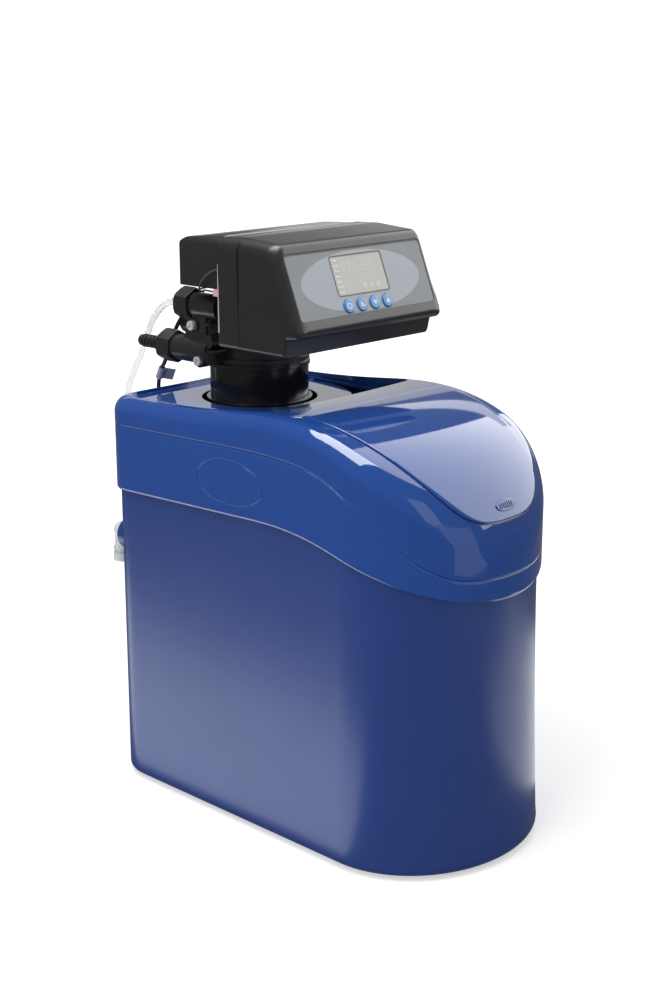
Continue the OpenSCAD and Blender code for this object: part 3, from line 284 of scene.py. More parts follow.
def noise(tree, coord, scale, detail=3.0):
    n = node(tree, "ShaderNodeTexNoise")
    n.inputs["Scale"].default_value = scale
    n.inputs["Detail"].default_value = detail
    tree.links.new(coord.outputs["Object"], n.inputs["Vector"])
    return n.outputs["Fac"]


def spread(tree, value, lo, hi, from_lo=0.3, from_hi=0.7):
    m = node(tree, "ShaderNodeMapRange")
    tree.links.new(value, m.inputs["Value"])
    m.inputs["From Min"].default_value = from_lo
    m.inputs["From Max"].default_value = from_hi
    m.inputs["To Min"].default_value = lo
    m.inputs["To Max"].default_value = hi
    return m.outputs["Result"]


def plastic(name, dark, light, rough, grain=0.0, grain_scale=900, edge=0.0, coat=0.0, metal=0.0, patch=14,
            vary=0.18):
    """Moulded surface: slow colour drift, roughness that wanders, fine grain and softened edges."""
    mat = bpy.data.materials.new(name)
    mat.use_nodes = True
    tree = mat.node_tree
    bsdf = tree.nodes["Principled BSDF"]
    coord = node(tree, "ShaderNodeTexCoord")
    drift = node(tree, "ShaderNodeMix", data_type="RGBA")
    tree.links.new(spread(tree, noise(tree, coord, patch), 0, 1), drift.inputs["Factor"])
    drift.inputs["A"].default_value = (*dark, 1)
    drift.inputs["B"].default_value = (*light, 1)
    tree.links.new(drift.outputs["Result"], bsdf.inputs["Base Color"])
    wander = spread(tree, noise(tree, coord, patch * 6), rough * (1 - vary), rough * (1 + vary))
    tree.links.new(wander, bsdf.inputs["Roughness"])
    bsdf.inputs["Metallic"].default_value = metal
    if coat:
        bsdf.inputs["Coat Weight"].default_value = coat
        bsdf.inputs["Coat Roughness"].default_value = COAT_ROUGH
    bump = node(tree, "ShaderNodeBump")
    bump.inputs["Strength"].default_value = grain
    bump.inputs["Distance"].default_value = GRAIN_DEPTH
    tree.links.new(noise(tree, coord, grain_scale, 2.0), bump.inputs["Height"])
    if edge:
        soft = node(tree, "ShaderNodeBevel")
        soft.samples = EDGE_SAMPLES
        soft.inputs["Radius"].default_value = edge * MM
        tree.links.new(soft.outputs["Normal"], bump.inputs["Normal"])
    tree.links.new(bump.outputs["Normal"], bsdf.inputs["Normal"])
    return mat


def clear(name, dark, light, rough, ior, through):
    mat = plastic(name, dark, light, rough, vary=0.05)
    bsdf = mat.node_tree.nodes["Principled BSDF"]
    bsdf.inputs["Transmission Weight"].default_value = through
    bsdf.inputs["IOR"].default_value = ior
    return mat


# each finish: darker colour, lighter colour, roughness, and what departs from plain moulded plastic
FINISHES = {
    "cabinet_blue": ((0.0145, 0.046, 0.215), (0.016, 0.05, 0.235), 0.3,
                     {"grain": 0.12, "edge": 0.5, "patch": 7, "vary": 0.06}),
    "cover_blue": ((0.016, 0.068, 0.3), (0.0175, 0.073, 0.32), 0.06,
                   {"grain": 0.01, "edge": 0.9, "coat": 0.4, "patch": 9}),
    "black_plastic": ((0.0165, 0.0165, 0.0175), (0.019, 0.019, 0.02), 0.33,
                      {"grain": 0.1, "edge": 0.6, "vary": 0.04}),
    "black_gloss": ((0.008, 0.008, 0.009), (0.013, 0.013, 0.014), 0.14, {"grain": 0.02, "edge": 0.8}),
    "black_rubber": ((0.012, 0.012, 0.012), (0.02, 0.02, 0.02), 0.6, {"grain": 0.2, "edge": 0.4}),
    "white_plastic": ((0.62, 0.66, 0.66), (0.74, 0.77, 0.77), 0.3, {"grain": 0.05, "edge": 0.5}),
    "zinc_steel": ((0.85, 0.85, 0.86), (0.92, 0.92, 0.93), 0.28, {"grain": 0.05, "edge": 0.3, "metal": 0.6}),
    "board_green": ((0.01, 0.09, 0.03), (0.015, 0.13, 0.045), 0.4, {"grain": 0.1}),
    "button_blue": ((0.025, 0.2, 0.52), (0.032, 0.23, 0.58), 0.12,
                    {"grain": 0.02, "coat": 0.2, "patch": 120}),
    "tank_blue": ((0.05, 0.16, 0.38), (0.07, 0.2, 0.44), 0.42, {"grain": 0.2, "edge": 0.6}),
    "resin_amber": ((0.4, 0.16, 0.03), (0.55, 0.25, 0.06), 0.5,
                    {"grain": 0.6, "grain_scale": 1400, "patch": 160}),
    "natural_plastic": ((0.68, 0.66, 0.58), (0.78, 0.76, 0.68), 0.4, {"grain": 0.08, "edge": 0.4}),
    "ceramic": ((0.72, 0.7, 0.64), (0.82, 0.8, 0.74), 0.2, {"grain": 0.02, "edge": 0.2}),
    "motor_grey": ((0.16, 0.16, 0.17), (0.24, 0.24, 0.25), 0.38, {"grain": 0.1, "edge": 0.4, "metal": 0.7}),
    "float_orange": ((0.62, 0.09, 0.03), (0.72, 0.13, 0.04), 0.4, {"grain": 0.1, "edge": 0.5}),
    "nozzle_yellow": ((0.62, 0.44, 0.04), (0.72, 0.52, 0.07), 0.35, {"grain": 0.06, "edge": 0.3}),
    "tag_grey": ((0.26, 0.3, 0.4), (0.36, 0.4, 0.5), 0.3, {"grain": 0.05, "patch": 120}),
    "plug_pink": ((0.72, 0.34, 0.36), (0.82, 0.42, 0.43), 0.4, {"grain": 0.05, "edge": 0.3}),
    "display_clear": ((0.44, 0.43, 0.4), (0.47, 0.46, 0.425), 0.2, {"grain": 0.02, "patch": 60}),
    "white_print": ((0.72, 0.73, 0.75), (0.8, 0.81, 0.83), 0.45, {"grain": 0.05, "patch": 300}),
    "faint_print": ((0.53, 0.52, 0.48), (0.57, 0.56, 0.52), 0.3, {"grain": 0.03, "patch": 300}),
    # light grey of the bead on the head frame's rear edge: a painted highlight
    "rim_grey": ((0.4, 0.4, 0.41), (0.46, 0.46, 0.47), 0.3, {"grain": 0.03, "patch": 60}),
    "wire_grey": ((0.05, 0.05, 0.052), (0.065, 0.065, 0.068), 0.3, {"grain": 0.03, "patch": 200}),
    "grey_print": ((0.06, 0.065, 0.07), (0.085, 0.09, 0.095), 0.4, {"grain": 0.05, "patch": 300}),
    "panel_grey": ((0.155, 0.168, 0.178), (0.17, 0.184, 0.194), 0.36,
                   {"grain": 0.08, "patch": 30, "vary": 0.05}),
}
MATS = {}
for name, (dark, light, rough, more) in FINISHES.items():
    MATS[name] = plastic(name, dark, light, rough, **more)
MATS["clear_tube"] = clear("clear_tube", (0.84, 0.86, 0.86), (0.88, 0.9, 0.9), 0.29, ior=1.2, through=0.9)

# control panel frame: u to the right, v up the slope, w out of the panel
PANEL_O = (0.0, -28.5, 511.0)
PANEL_TILT = math.radians(68)
PANEL_S, PANEL_C = math.sin(PANEL_TILT), math.cos(PANEL_TILT)
PANEL_W, PANEL_H, PANEL_R = 179, 61, 4

# lighter oval field on the panel: half sizes, how far its middle lies below the panel's, soft edge
FIELD_HALF_W, FIELD_HALF_H = 78.4, 28.2
FIELD_DROP = 0.5
FIELD_EDGE = (0.97, 1.0)
FIELD_COLOUR = (0.31, 0.34, 0.385, 1)


def on_panel(u, v, w):
    return (u, PANEL_O[1] + v * PANEL_C - w * PANEL_S, PANEL_O[2] + v * PANEL_S + w * PANEL_C)


def add_oval_field(mat):
    tree = mat.node_tree
    bsdf = tree.nodes["Principled BSDF"]
    base = bsdf.inputs["Base Color"].links[0].from_socket
    coord = node(tree, "ShaderNodeTexCoord")
    middle = PANEL_O[1] * PANEL_C + PANEL_O[2] * PANEL_S - FIELD_DROP
    across = ((1, 0, 0), 0.0, FIELD_HALF_W)
    along = ((0, PANEL_C, PANEL_S), middle, FIELD_HALF_H)
    squares = []
    for axis, centre, half in (across, along):
        dot = node(tree, "ShaderNodeVectorMath", operation="DOT_PRODUCT")
        tree.links.new(coord.outputs["Object"], dot.inputs[0])
        dot.inputs[1].default_value = axis
        part = calc(tree, "DIVIDE", calc(tree, "SUBTRACT", dot.outputs["Value"], centre * MM), half * MM)
        squares.append(calc(tree, "MULTIPLY", part, part))
    mix = node(tree, "ShaderNodeMix", data_type="RGBA")
    tree.links.new(spread(tree, calc(tree, "ADD", *squares), 1.0, 0.0, *FIELD_EDGE), mix.inputs["Factor"])
    tree.links.new(base, mix.inputs["A"])
    mix.inputs["B"].default_value = FIELD_COLOUR
    tree.links.new(mix.outputs["Result"], bsdf.inputs["Base Color"])


add_oval_field(MATS["panel_grey"])

# plans of the cabinet: half width, nose depth, rear, rear corner radius, start of the nose
BASE = np.array([117.5, 102, 204, 40, -108])
COVER = np.array([115.0, 102, 206, 30, -105])
TOP = np.array([111.0, 98, 202, 26, -105])
MIN_CORNER = 4

# points on a plan: nose, side and rear corner on one half, and the row across
N_NOSE, N_SIDE, N_CORNER, M_ROW = 56, 44, 14, 44
N_HALF = 1 + N_NOSE + N_SIDE + N_CORNER
N_RING = 2 * N_HALF + M_ROW - 2

# the skirt's lower edge (lip) and upper edge (seam) rise from the nose; the cabinet's rim lies between
NOSE_Y = -207
LIP_Z, LIP_RISE, LIP_RUN = 251, 52, 190
SEAM_Z, SEAM_RISE, SEAM_RUN, SEAM_POWER = 273.5, 94, 78, 1.85
REAR_SLOPE = 0.028
SEAM_SLOPE_Y = 10
RIM_SHARE = 0.4

# dome: a superellipse in front of DOME_Y and a slow fall behind it, bowed across
DOME_Y, DOME_L, DOME_H, DOME_N = -45, 163, 128.5, 2.2
DOME_TOP = SEAM_Z + DOME_H
DOME_FALL, DOME_RUN = 15, 95
BOW, BOW_X = 20, 100
HALF_N = DOME_N / 2


def inset(p, d):
    return np.array([p[0] - d, p[1] - d, p[2] - d, max(p[3] - d, MIN_CORNER), p[4]])


def half_plan(p):
    a = np.linspace(0, QUARTER, N_NOSE + 1)
    nose = np.stack([p[0] * np.sin(a), p[4] - p[1] * np.cos(a)], 1)
    y = np.linspace(p[4], p[2] - p[3], N_SIDE + 1)[1:]
    side = np.stack([np.full_like(y, p[0]), y], 1)
    b = np.linspace(0, QUARTER, N_CORNER + 1)[1:]
    corner = np.stack([p[0] - p[3] + p[3] * np.cos(b), p[2] - p[3] + p[3] * np.sin(b)], 1)
    return np.concatenate([nose, side, corner])


def ring_plan(p):
    h = half_plan(p)
    x = np.linspace(h[-1, 0], -h[-1, 0], M_ROW + 1)[1:-1]
    back = np.stack([x, np.full_like(x, h[-1, 1])], 1)
    return np.concatenate([h, back, h[:0:-1] * [-1, 1]])


def lip(y):
    run = np.clip((y - NOSE_Y) / LIP_RUN, 0, 1)
    return LIP_Z + LIP_RISE * np.sin(QUARTER * run) - REAR_SLOPE * np.maximum(0, y)


def seam(y):
    run = (np.maximum(0, y - NOSE_Y) / SEAM_RUN) ** SEAM_POWER
    return SEAM_Z + SEAM_RISE * (1 - np.exp(-run)) - REAR_SLOPE * np.maximum(0, y - SEAM_SLOPE_Y)


def rim(y):
    return lip(y) + (seam(y) - lip(y)) * RIM_SHARE


def bow(x):
    return BOW * (x / BOW_X) ** 2


def dome(v, t):
    """Height of the dome at v, t inside its outer face."""
    reach = np.maximum(0, DOME_Y - v) / (DOME_L - t)
    front = SEAM_Z - t + DOME_H * np.maximum(0, 1 - reach ** DOME_N) ** (1 / DOME_N)
    u = (v - DOME_Y) / DOME_RUN
    return np.where(v < DOME_Y, front, DOME_TOP - t - DOME_FALL * u * u / (1 + u * u))


def crown(q, t):
    return dome(q[:, 1] - bow(q[:, 0]), t)


def level(plan, z):
    return np.column_stack([plan, np.full(len(plan), float(z)) if np.isscalar(z) else z])


def loft(name, rings, low, high):
    """Skin through rings of N_RING points. low and high give the heights of the caps' inner points."""
    verts = [tuple(q) for r in rings for q in r]
    faces = bands(N_RING, len(rings))
    last = (len(rings) - 1) * N_RING
    for ring0, ring, height, up in ((0, rings[0], low, False), (last, rings[-1], high, True)):
        grid = [[ring0] * (M_ROW + 1)]
        for r in range(1, N_HALF - 1):
            x = ring[r, 0] * (1 - 2 * np.arange(1, M_ROW) / M_ROW)
            q = np.column_stack([x, np.full(M_ROW - 1, ring[r, 1])])
            first = len(verts)
            verts += [tuple(p) for p in level(q, height(q))]
            grid.append([ring0 + r] + list(range(first, first + M_ROW - 1)) + [ring0 + N_RING - r])
        grid.append([ring0 + N_HALF - 1 + j for j in range(M_ROW + 1)])
        cap = [(grid[0][0], grid[1][j], grid[1][j + 1]) for j in range(M_ROW)]
        cap += [(grid[r][j], grid[r + 1][j], grid[r + 1][j + 1], grid[r][j + 1])
                for r in range(1, N_HALF - 1) for j in range(M_ROW)]
        faces += cap if up else [f[::-1] for f in cap]
    return make(name, verts, faces)


def hoop(name, rings):
    verts = [tuple(q) for r in rings for q in r]
    return make(name, verts, bands(N_RING, len(rings), closed=True))


# cabinet body: underside, floor inside, rounding below, wall, overflow boss and tube hole
BODY_Z, BODY_FLOOR, BODY_ROUND, BODY_WALL = 3, 8, 8, 3.5
OVERFLOW_X, OVERFLOW_Z, OVERFLOW_BOSS_R, OVERFLOW_R = -88, 246, 16, 8.3
GROMMET_X, GROMMET_Z, GROMMET_R = -50, 272, 6.2
BORE_Y = (150, 230)
BOSS_Y = 189.5


def body_plan(f):
    return BASE + (TOP - BASE) * math.sin(QUARTER * f)


def rise(plan, f):
    return level(plan, BODY_Z + (rim(plan[:, 1]) - BODY_Z) * f)


def build_cabinet():
    rings = []
    for a in np.linspace(0, QUARTER, 9):
        plan = ring_plan(inset(BASE, BODY_ROUND * (1 - math.sin(a))))
        rings.append(level(plan, BODY_Z + BODY_ROUND * (1 - math.cos(a))))
    for f in np.linspace(0.06, 1, 36):
        rings.append(rise(ring_plan(body_plan(f)), f))
    for f in np.linspace(1, 0.1, 12):
        rings.append(rise(ring_plan(inset(body_plan(f), BODY_WALL)), f))
    for d, z in ((5, 16), (7, 11), (11, BODY_FLOOR)):
        rings.append(level(ring_plan(inset(BASE, d)), z))
    ob = loft("cabinet_shell", rings, lambda q: np.full(len(q), float(BODY_Z)),
              lambda q: np.full(len(q), float(BODY_FLOOR)))
    share = (OVERFLOW_Z - BODY_Z) / (float(rim(np.array(float(BASE[2])))) - BODY_Z)
    rear = float(body_plan(share)[2]) + 1
    cut(ob, rod_y("boss", OVERFLOW_X, BOSS_Y, rear, OVERFLOW_Z, OVERFLOW_BOSS_R), "UNION")
    cut(ob, rod_y("bore", OVERFLOW_X, *BORE_Y, OVERFLOW_Z, OVERFLOW_R))
    cut(ob, rod_y("bore", GROMMET_X, *BORE_Y, GROMMET_Z, GROMMET_R))
    return smooth(ob, 30)


# cover skirt: rounded edges below and at the seam, and an oval groove on each side
SKIRT_EDGE_IN, SKIRT_EDGE_UP = 2.6, 3.2
SEAM_EDGE, SEAM_GAP = 0.9, 1.4
OVAL_Y, OVAL_Z, OVAL_HALF_L, OVAL_HALF_H = 28, 333.5, 42.5, 21
OVAL_R, OVAL_STEPS, OVAL_SIDES = 0.55, 96, 10


def oval_groove(side):
    a = np.linspace(0, TURN, OVAL_STEPS + 1)
    verts = []
    for i in range(OVAL_STEPS):
        c, s = np.cos(a[i]), np.sin(a[i])
        middle = np.array([side * COVER[0], OVAL_Y + OVAL_HALF_L * c, OVAL_Z + OVAL_HALF_H * s])
        out = np.array([0, c / OVAL_HALF_L, s / OVAL_HALF_H])
        out /= np.linalg.norm(out)
        for k in range(OVAL_SIDES):
            b = TURN * k / OVAL_SIDES
            verts.append(middle + OVAL_R * (out * math.cos(b) + np.array([1.0, 0, 0]) * math.sin(b)))
    return outward(make("oval", verts, bands(OVAL_SIDES, OVAL_STEPS, closed=True)))


def build_skirt():
    rings = []
    for a in np.linspace(0, QUARTER, 7):
        p = ring_plan(inset(COVER, SKIRT_EDGE_IN * (1 - math.sin(a))))
        rings.append(level(p, lip(p[:, 1]) + SKIRT_EDGE_UP * (1 - math.cos(a))))
    p = ring_plan(COVER)
    lo, hi = lip(p[:, 1]) + SKIRT_EDGE_UP, seam(p[:, 1]) - SEAM_GAP
    for t in np.linspace(0, 1, 12)[1:]:
        rings.append(level(p, lo + (hi - lo) * t))
    for a in np.linspace(0, QUARTER, 4)[1:]:
        q = ring_plan(inset(COVER, SEAM_EDGE * (1 - math.cos(a))))
        rings.append(level(q, seam(q[:, 1]) - SEAM_GAP + math.sin(a)))
    q = ring_plan(inset(COVER, 2.9))
    w = ring_plan(inset(COVER, 9.5))
    for plan, line, up in ((q, seam, -0.4), (q, rim, 2.6), (w, rim, 2.6), (w, rim, 0.1), (q, rim, 0.1),
                           (q, lip, 0.6)):
        rings.append(level(plan, line(plan[:, 1]) + up))
    ob = hoop("skirt_band", rings)
    for side in (-1, 1):
        cut(ob, oval_groove(side))
    return smooth(ob, 30)


# salt lid: rows run from the tip to the hinge edge
L_ROWS, L_COLS = 60, 44
LID_HALF, LID_LENGTH, LID_REAR = 93, 154.6, 0.5
LID_TIP = math.radians(1.4)
LID_TIP_INSET = math.radians(0.44)

# sections of the lid's edge: height over the dome and inset, from the top skin to the underside
LID_EDGE = [(1.6, 1.3), (1.52, 0.8), (1.3, 0.38), (0.95, 0.1), (0.5, 0), (-1.7, 0)]
LID_UP = LID_EDGE[0][0]


def lid_sheet(h, e):
    """Grid of points on the dome, h over it, with the outline moved in by e."""
    k = np.arange(L_ROWS + 1)[:, None]
    j = np.arange(L_COLS + 1)[None, :]
    a = QUARTER * k / L_ROWS
    x = (LID_HALF - e) * np.sin(a) * (2 * j / L_COLS - 1)
    turn = np.arccos(np.clip((LID_REAR + bow(x) + e) / LID_LENGTH, 0, 1))
    s = LID_TIP + (turn - LID_TIP) * (1 - np.cos(a))
    t = np.arccos((LID_LENGTH * np.cos(s) / DOME_L) ** HALF_N) + LID_TIP_INSET * e * np.cos(a)
    y = DOME_Y - (DOME_L + h) * np.cos(t) ** (1 / HALF_N) + bow(x)
    return np.stack([x, y, SEAM_Z + (DOME_H + h) * np.sin(t) ** (1 / HALF_N)], -1)


def lid_form(name, sections):
    """Closed form through sheets: the first one is the top skin, the last one the underside."""
    verts, faces = [], []
    edge = [(k, L_COLS) for k in range(1, L_ROWS + 1)] + [(L_ROWS, j) for j in range(L_COLS - 1, -1, -1)]
    edge += [(k, 0) for k in range(L_ROWS - 1, 0, -1)]

    def add_skin(h, e, flip):
        p = lid_sheet(h, e)
        o = len(verts)
        verts.append(tuple(p[0, 0]))
        verts.extend(tuple(q) for q in p[1:].reshape(-1, 3))

        def at(k, j):
            return o if k == 0 else o + 1 + (k - 1) * (L_COLS + 1) + j

        for j in range(L_COLS):
            f = (at(0, 0), at(1, j), at(1, j + 1))
            faces.append(f[::-1] if flip else f)
            for k in range(1, L_ROWS):
                f = (at(k, j), at(k + 1, j), at(k + 1, j + 1), at(k, j + 1))
                faces.append(f[::-1] if flip else f)
        return [at(0, 0)] + [at(k, j) for k, j in edge]

    loops = [add_skin(*sections[0], False)]
    for h, e in sections[1:-1]:
        p = lid_sheet(h, e)
        o = len(verts)
        verts.append(tuple(p[0, 0]))
        verts.extend(tuple(p[k, j]) for k, j in edge)
        loops.append(list(range(o, o + len(edge) + 1)))
    loops.append(add_skin(*sections[-1], True))
    for a, b in zip(loops, loops[1:]):
        n = len(a)
        faces.extend((a[i], b[i], b[(i + 1) % n], a[(i + 1) % n]) for i in range(n))
    return outward(make(name, verts, faces))


def lid_block(name, h0, h1, e):
    """Form of the lid between two heights over the dome, moved in by e."""
    return lid_form(name, [(h1, e), (h0, e)])


# top cover with its domed front, tray, salt opening and hinge
COVER_WALL, SHOULDER_R = 3, 15
FOOT_SHARE = 0.3
TRAY_HALF, TRAY_FRONT, TRAY_REAR, TRAY_REAR_R, TRAY_FRONT_R = 101, -3, 192, 24, 10
TRAY_Z, TRAY_WALL = 385.5, 2.5
NECK_Y, NECK_R, NECK_STAY_R = 105, 56.2, 90
HINGE_Y, HINGE_Z, HINGE_SWEEP_R = -52, 395, 11.4
LUG_X, LUG_HALF, LUG_R, LUG_BORE_R, LUG_TOP = 60, 4, 4.2, 2.05, 400.6
CHEEK_OUT, CHEEK_HALF, CHEEK_BORE_R, CHEEK_Z = 6.4, 2, 2.02, 381.2
STRIP_HALF, STRIP_Z, STRIP_TOP = 12, 380.8, 383.2
RIB_Y = (-40.2, -36.2)


def tray_plan(g):
    w, y0, y1 = TRAY_HALF + g, TRAY_FRONT - g, TRAY_REAR + g
    rr, rf = TRAY_REAR_R + g, TRAY_FRONT_R + g
    a = np.linspace(0, QUARTER, 13)
    out = [(w - rf + rf * math.sin(t), y0 + rf - rf * math.cos(t)) for t in a]
    out += [(w - rr + rr * math.cos(t), y1 - rr + rr * math.sin(t)) for t in a]
    return out + [(-x, y) for x, y in out[::-1]]


def shoulder_rings(t, r, steps):
    rings = []
    for a in np.linspace(0, QUARTER, steps):
        p = ring_plan(inset(COVER, t + r * (1 - math.cos(a))))
        rings.append(level(p, crown(p, t) - r * (1 - math.sin(a))))
    return rings


def foot(q, down=0):
    return seam(q[:, 1]) - down - FOOT_SHARE * (seam(q[:, 1]) - lip(q[:, 1]))


def cover_hollow():
    """The cover's inside, without the tray and its walls."""
    def under(q):
        return foot(q, 1)

    low = ring_plan(inset(COVER, 5.7))
    wide = ring_plan(inset(COVER, COVER_WALL))
    rings = [level(low, under(low)), level(low, seam(low[:, 1]) + 4), level(wide, seam(wide[:, 1]) + 6)]
    rings += shoulder_rings(COVER_WALL, SHOULDER_R - COVER_WALL, 8)
    hollow = loft("hollow", rings, under, lambda q: crown(q, COVER_WALL))
    return cut(hollow, prism("tray", tray_plan(TRAY_WALL), flat, TRAY_Z - TRAY_WALL, 443))


def lid_seat():
    seat = lid_block("seat", -6, -2.1, -4.5)
    cut(seat, lid_block("mouth", -40, 30, 9))
    return cut(seat, rod_x("sweep", -99, 99, HINGE_Y, HINGE_Z, HINGE_SWEEP_R, 96))


def tray_window(x0, x1):
    """What a window cuts from the tray's floor: one side of it, clear of the neck."""
    win = prism("window", tray_plan(-2), flat, 377, 386.5)
    cut(win, block("side", x0, x1, -8, 122, 345.5, 405.5), "INTERSECT")
    return cut(win, rod_z("stay", 0, NECK_Y, 335.5, 435.5, NECK_STAY_R))


def build_cover():
    low = ring_plan(inset(COVER, 3.3))
    rings = [level(low, foot(low)), level(low, seam(low[:, 1]))]
    for a in np.linspace(0, QUARTER, 5):
        p = ring_plan(inset(COVER, SEAM_EDGE * (1 - math.sin(a))))
        rings.append(level(p, seam(p[:, 1]) + 1 - math.cos(a)))
    over = shoulder_rings(0, SHOULDER_R, 16)
    side = rings[-1]
    for t in np.linspace(0, 1, 8)[1:-1]:
        rings.append(side + (over[0] - side) * t)
    ob = loft("cover_shell", rings + over, foot, lambda q: crown(q, 0))
    cut(ob, cover_hollow())
    cut(ob, prism("tray", tray_plan(0), flat, TRAY_Z, 445.5))
    cut(ob, lid_block("gap", -30, 30, -1))
    cut(ob, rod_x("sweep", -94, 94, HINGE_Y, HINGE_Z, HINGE_SWEEP_R, 96))
    cut(ob, lid_seat(), "UNION")
    cut(ob, tray_window(-230, -30))
    cut(ob, tray_window(30, 230))
    cut(ob, rod_z("neck", 0, NECK_Y, 355.5, 415.5, NECK_R, 128))
    return smooth(ob, 30)


def build_bracket():
    parts = []
    front, rear = HINGE_Y - LUG_R, HINGE_Y + LUG_R
    for s in (-1, 1):
        for o in (-1, 1):
            x = s * LUG_X + o * CHEEK_OUT
            x0, x1 = x - CHEEK_HALF, x + CHEEK_HALF
            cheek = block("cheek", x0, x1, front, rear, CHEEK_Z, HINGE_Z)
            cut(cheek, rod_x("eye", x0, x1, HINGE_Y, HINGE_Z, LUG_R), "UNION")
            cut(cheek, rod_x("bore", x - 3, x + 3, HINGE_Y, HINGE_Z, CHEEK_BORE_R))
            parts.append(cheek)
        x0, x1 = s * LUG_X - STRIP_HALF, s * LUG_X + STRIP_HALF
        parts.append(block("strip", x0, x1, front, RIB_Y[1], STRIP_Z, STRIP_TOP))
        parts.append(block("rib", x0, x1, *RIB_Y, STRIP_Z, LUG_TOP))
    return smooth(join("hinge_bracket", parts), 30)


def build_lugs():
    parts = []
    for s in (-1, 1):
        x0, x1 = s * LUG_X - LUG_HALF, s * LUG_X + LUG_HALF
        lug = rod_x("lug", x0, x1, HINGE_Y, HINGE_Z, LUG_R)
        cut(lug, block("web", x0, x1, HINGE_Y - LUG_R, HINGE_Y + LUG_R, HINGE_Z, LUG_TOP), "UNION")
        cut(lug, rod_x("bore", x0 - 4, x1 + 4, HINGE_Y, HINGE_Z, LUG_BORE_R))
        parts.append(lug)
    return smooth(join("lid_lugs", parts), 30)


# oval finger pad on the lid: its place on the dome, half sizes and ridges
PAD_T = math.radians(25)
PAD_HALF_W, PAD_HALF_H, PAD_N = 12.5, 5.5, 64
PAD_RINGS = [(1.0, -1.5), (1.0, 0.35), (0.985, 0.6), (0.95, 0.76), (0.9, 0.8), (0.5, 0.8)]
RIDGE_HALF, RIDGE_W, RIDGE_STEP = 2.9, 1.1, 2.7


def on_pad(u, v, w):
    """Finger pad frame: u across, v up the lid, w out of it."""
    c, s = math.cos(PAD_T), math.sin(PAD_T)
    tilt = (DOME_N - 1) / HALF_N
    n = np.array([0, -c ** tilt / DOME_L, s ** tilt / DOME_H])
    n /= np.linalg.norm(n)
    up = np.array([0, n[2], -n[1]])
    y = DOME_Y - (DOME_L + LID_UP) * c ** (1 / HALF_N)
    o = np.array([0, y, SEAM_Z + (DOME_H + LID_UP) * s ** (1 / HALF_N)])
    return tuple(o + np.array([u, 0, 0]) + v * up + w * n)


def build_pad():
    verts = []
    for f, w in PAD_RINGS:
        d = PAD_HALF_W * (1 - f)
        outline = circle(PAD_HALF_W - d * 0.5, PAD_N, rv=PAD_HALF_H - d * 0.45)
        verts += [on_pad(u, v, w) for u, v in outline]
    m = len(PAD_RINGS)
    parts = [outward(make("pad", verts, bands(PAD_N, m) + ends(PAD_N, m)))]
    for i in range(-3, 4):
        h = RIDGE_HALF * math.sqrt(1 - (i / 5.2) ** 2)
        parts.append(prism("ridge", rounded(RIDGE_W, 2 * h, 0.5, i * RIDGE_STEP, 0), on_pad, 0.3, 1.3))
    return smooth(join("lid_pad", parts), 35)


# control head front: slices across X and Z, one for each Y
HEAD_HALF, HEAD_TOP, HEAD_LOW, HEAD_TIP = 98, 551, 451, -43.5
HEAD_FRONT_R, HEAD_NOSE_R = 9.0, 7
HEAD_TOP_R, HEAD_LOW_R = 12, 5
HEAD_WALL = 2.5
BROW_Y, BROW_RUN = -9, 7


def arc(cy, cz, r, a0, a1, n):
    angles = [math.radians(a) for a in np.linspace(a0, a1, n)]
    return [(cy + r * math.cos(a), cz + r * math.sin(a)) for a in angles]


def head_slices(g, ys):
    """Rings of the head's front, moved in by g."""
    nose = (-36.5 + 1.1 * g, 474.5 + 0.1 * g, HEAD_NOSE_R)
    top = arc(*nose, 180, 158, 10) + arc(-9.65 + 0.9 * g, 541 - 0.45 * g, HEAD_NOSE_R, 158, 94, 12)
    top = np.array(top + [(30, HEAD_TOP - g), (80, 548.5 - g)])
    low = arc(*nose, 180, 250, 14) + [(-28 + g, 466.5 + g), (-24.5 + g, HEAD_LOW + g), (80, HEAD_LOW + g)]
    low = np.array(low)
    tip = HEAD_TIP + 1.1 * g
    rings = []
    for y in ys:
        zh = float(np.interp(y, top[:, 0], top[:, 1]))
        zl = float(np.interp(y, low[:, 0], low[:, 1]))
        d = max(0.0, HEAD_FRONT_R - (y - tip))
        w = HEAD_HALF - g - HEAD_FRONT_R + math.sqrt(max(0.0, HEAD_FRONT_R ** 2 - d * d))
        room = max(zh - zl, 0.1)
        tall = 1 + 1.4 * min(1, max(0, (BROW_Y - y) / BROW_RUN))
        rise_t = min((13 if y > BROW_Y else 12) * tall, 0.7 * room)
        rise_l = min(HEAD_LOW_R, 0.25 * room)
        ct, cl = zh - rise_t, zl + rise_l
        corners = ((1, cl, HEAD_LOW_R, rise_l, -90), (1, ct, HEAD_TOP_R, rise_t, 0),
                   (-1, ct, HEAD_TOP_R, rise_t, 90), (-1, cl, HEAD_LOW_R, rise_l, 180))
        ring = []
        for sx, cz, rx, rz, a0 in corners:
            for i in range(13):
                a = math.radians(a0 + 90 * i / 12)
                ring.append((sx * (w - rx) + rx * math.cos(a), y, cz + rz * math.sin(a)))
        rings.append(ring)
    return rings


def head_loft(name, g, ys):
    rings = head_slices(g, ys)
    n, m = len(rings[0]), len(rings)
    return outward(make(name, [q for r in rings for q in r], bands(n, m) + ends(n, m)))


def panel_plan(g):
    return rounded(PANEL_W - 2 * g, PANEL_H - 2 * g, PANEL_R)


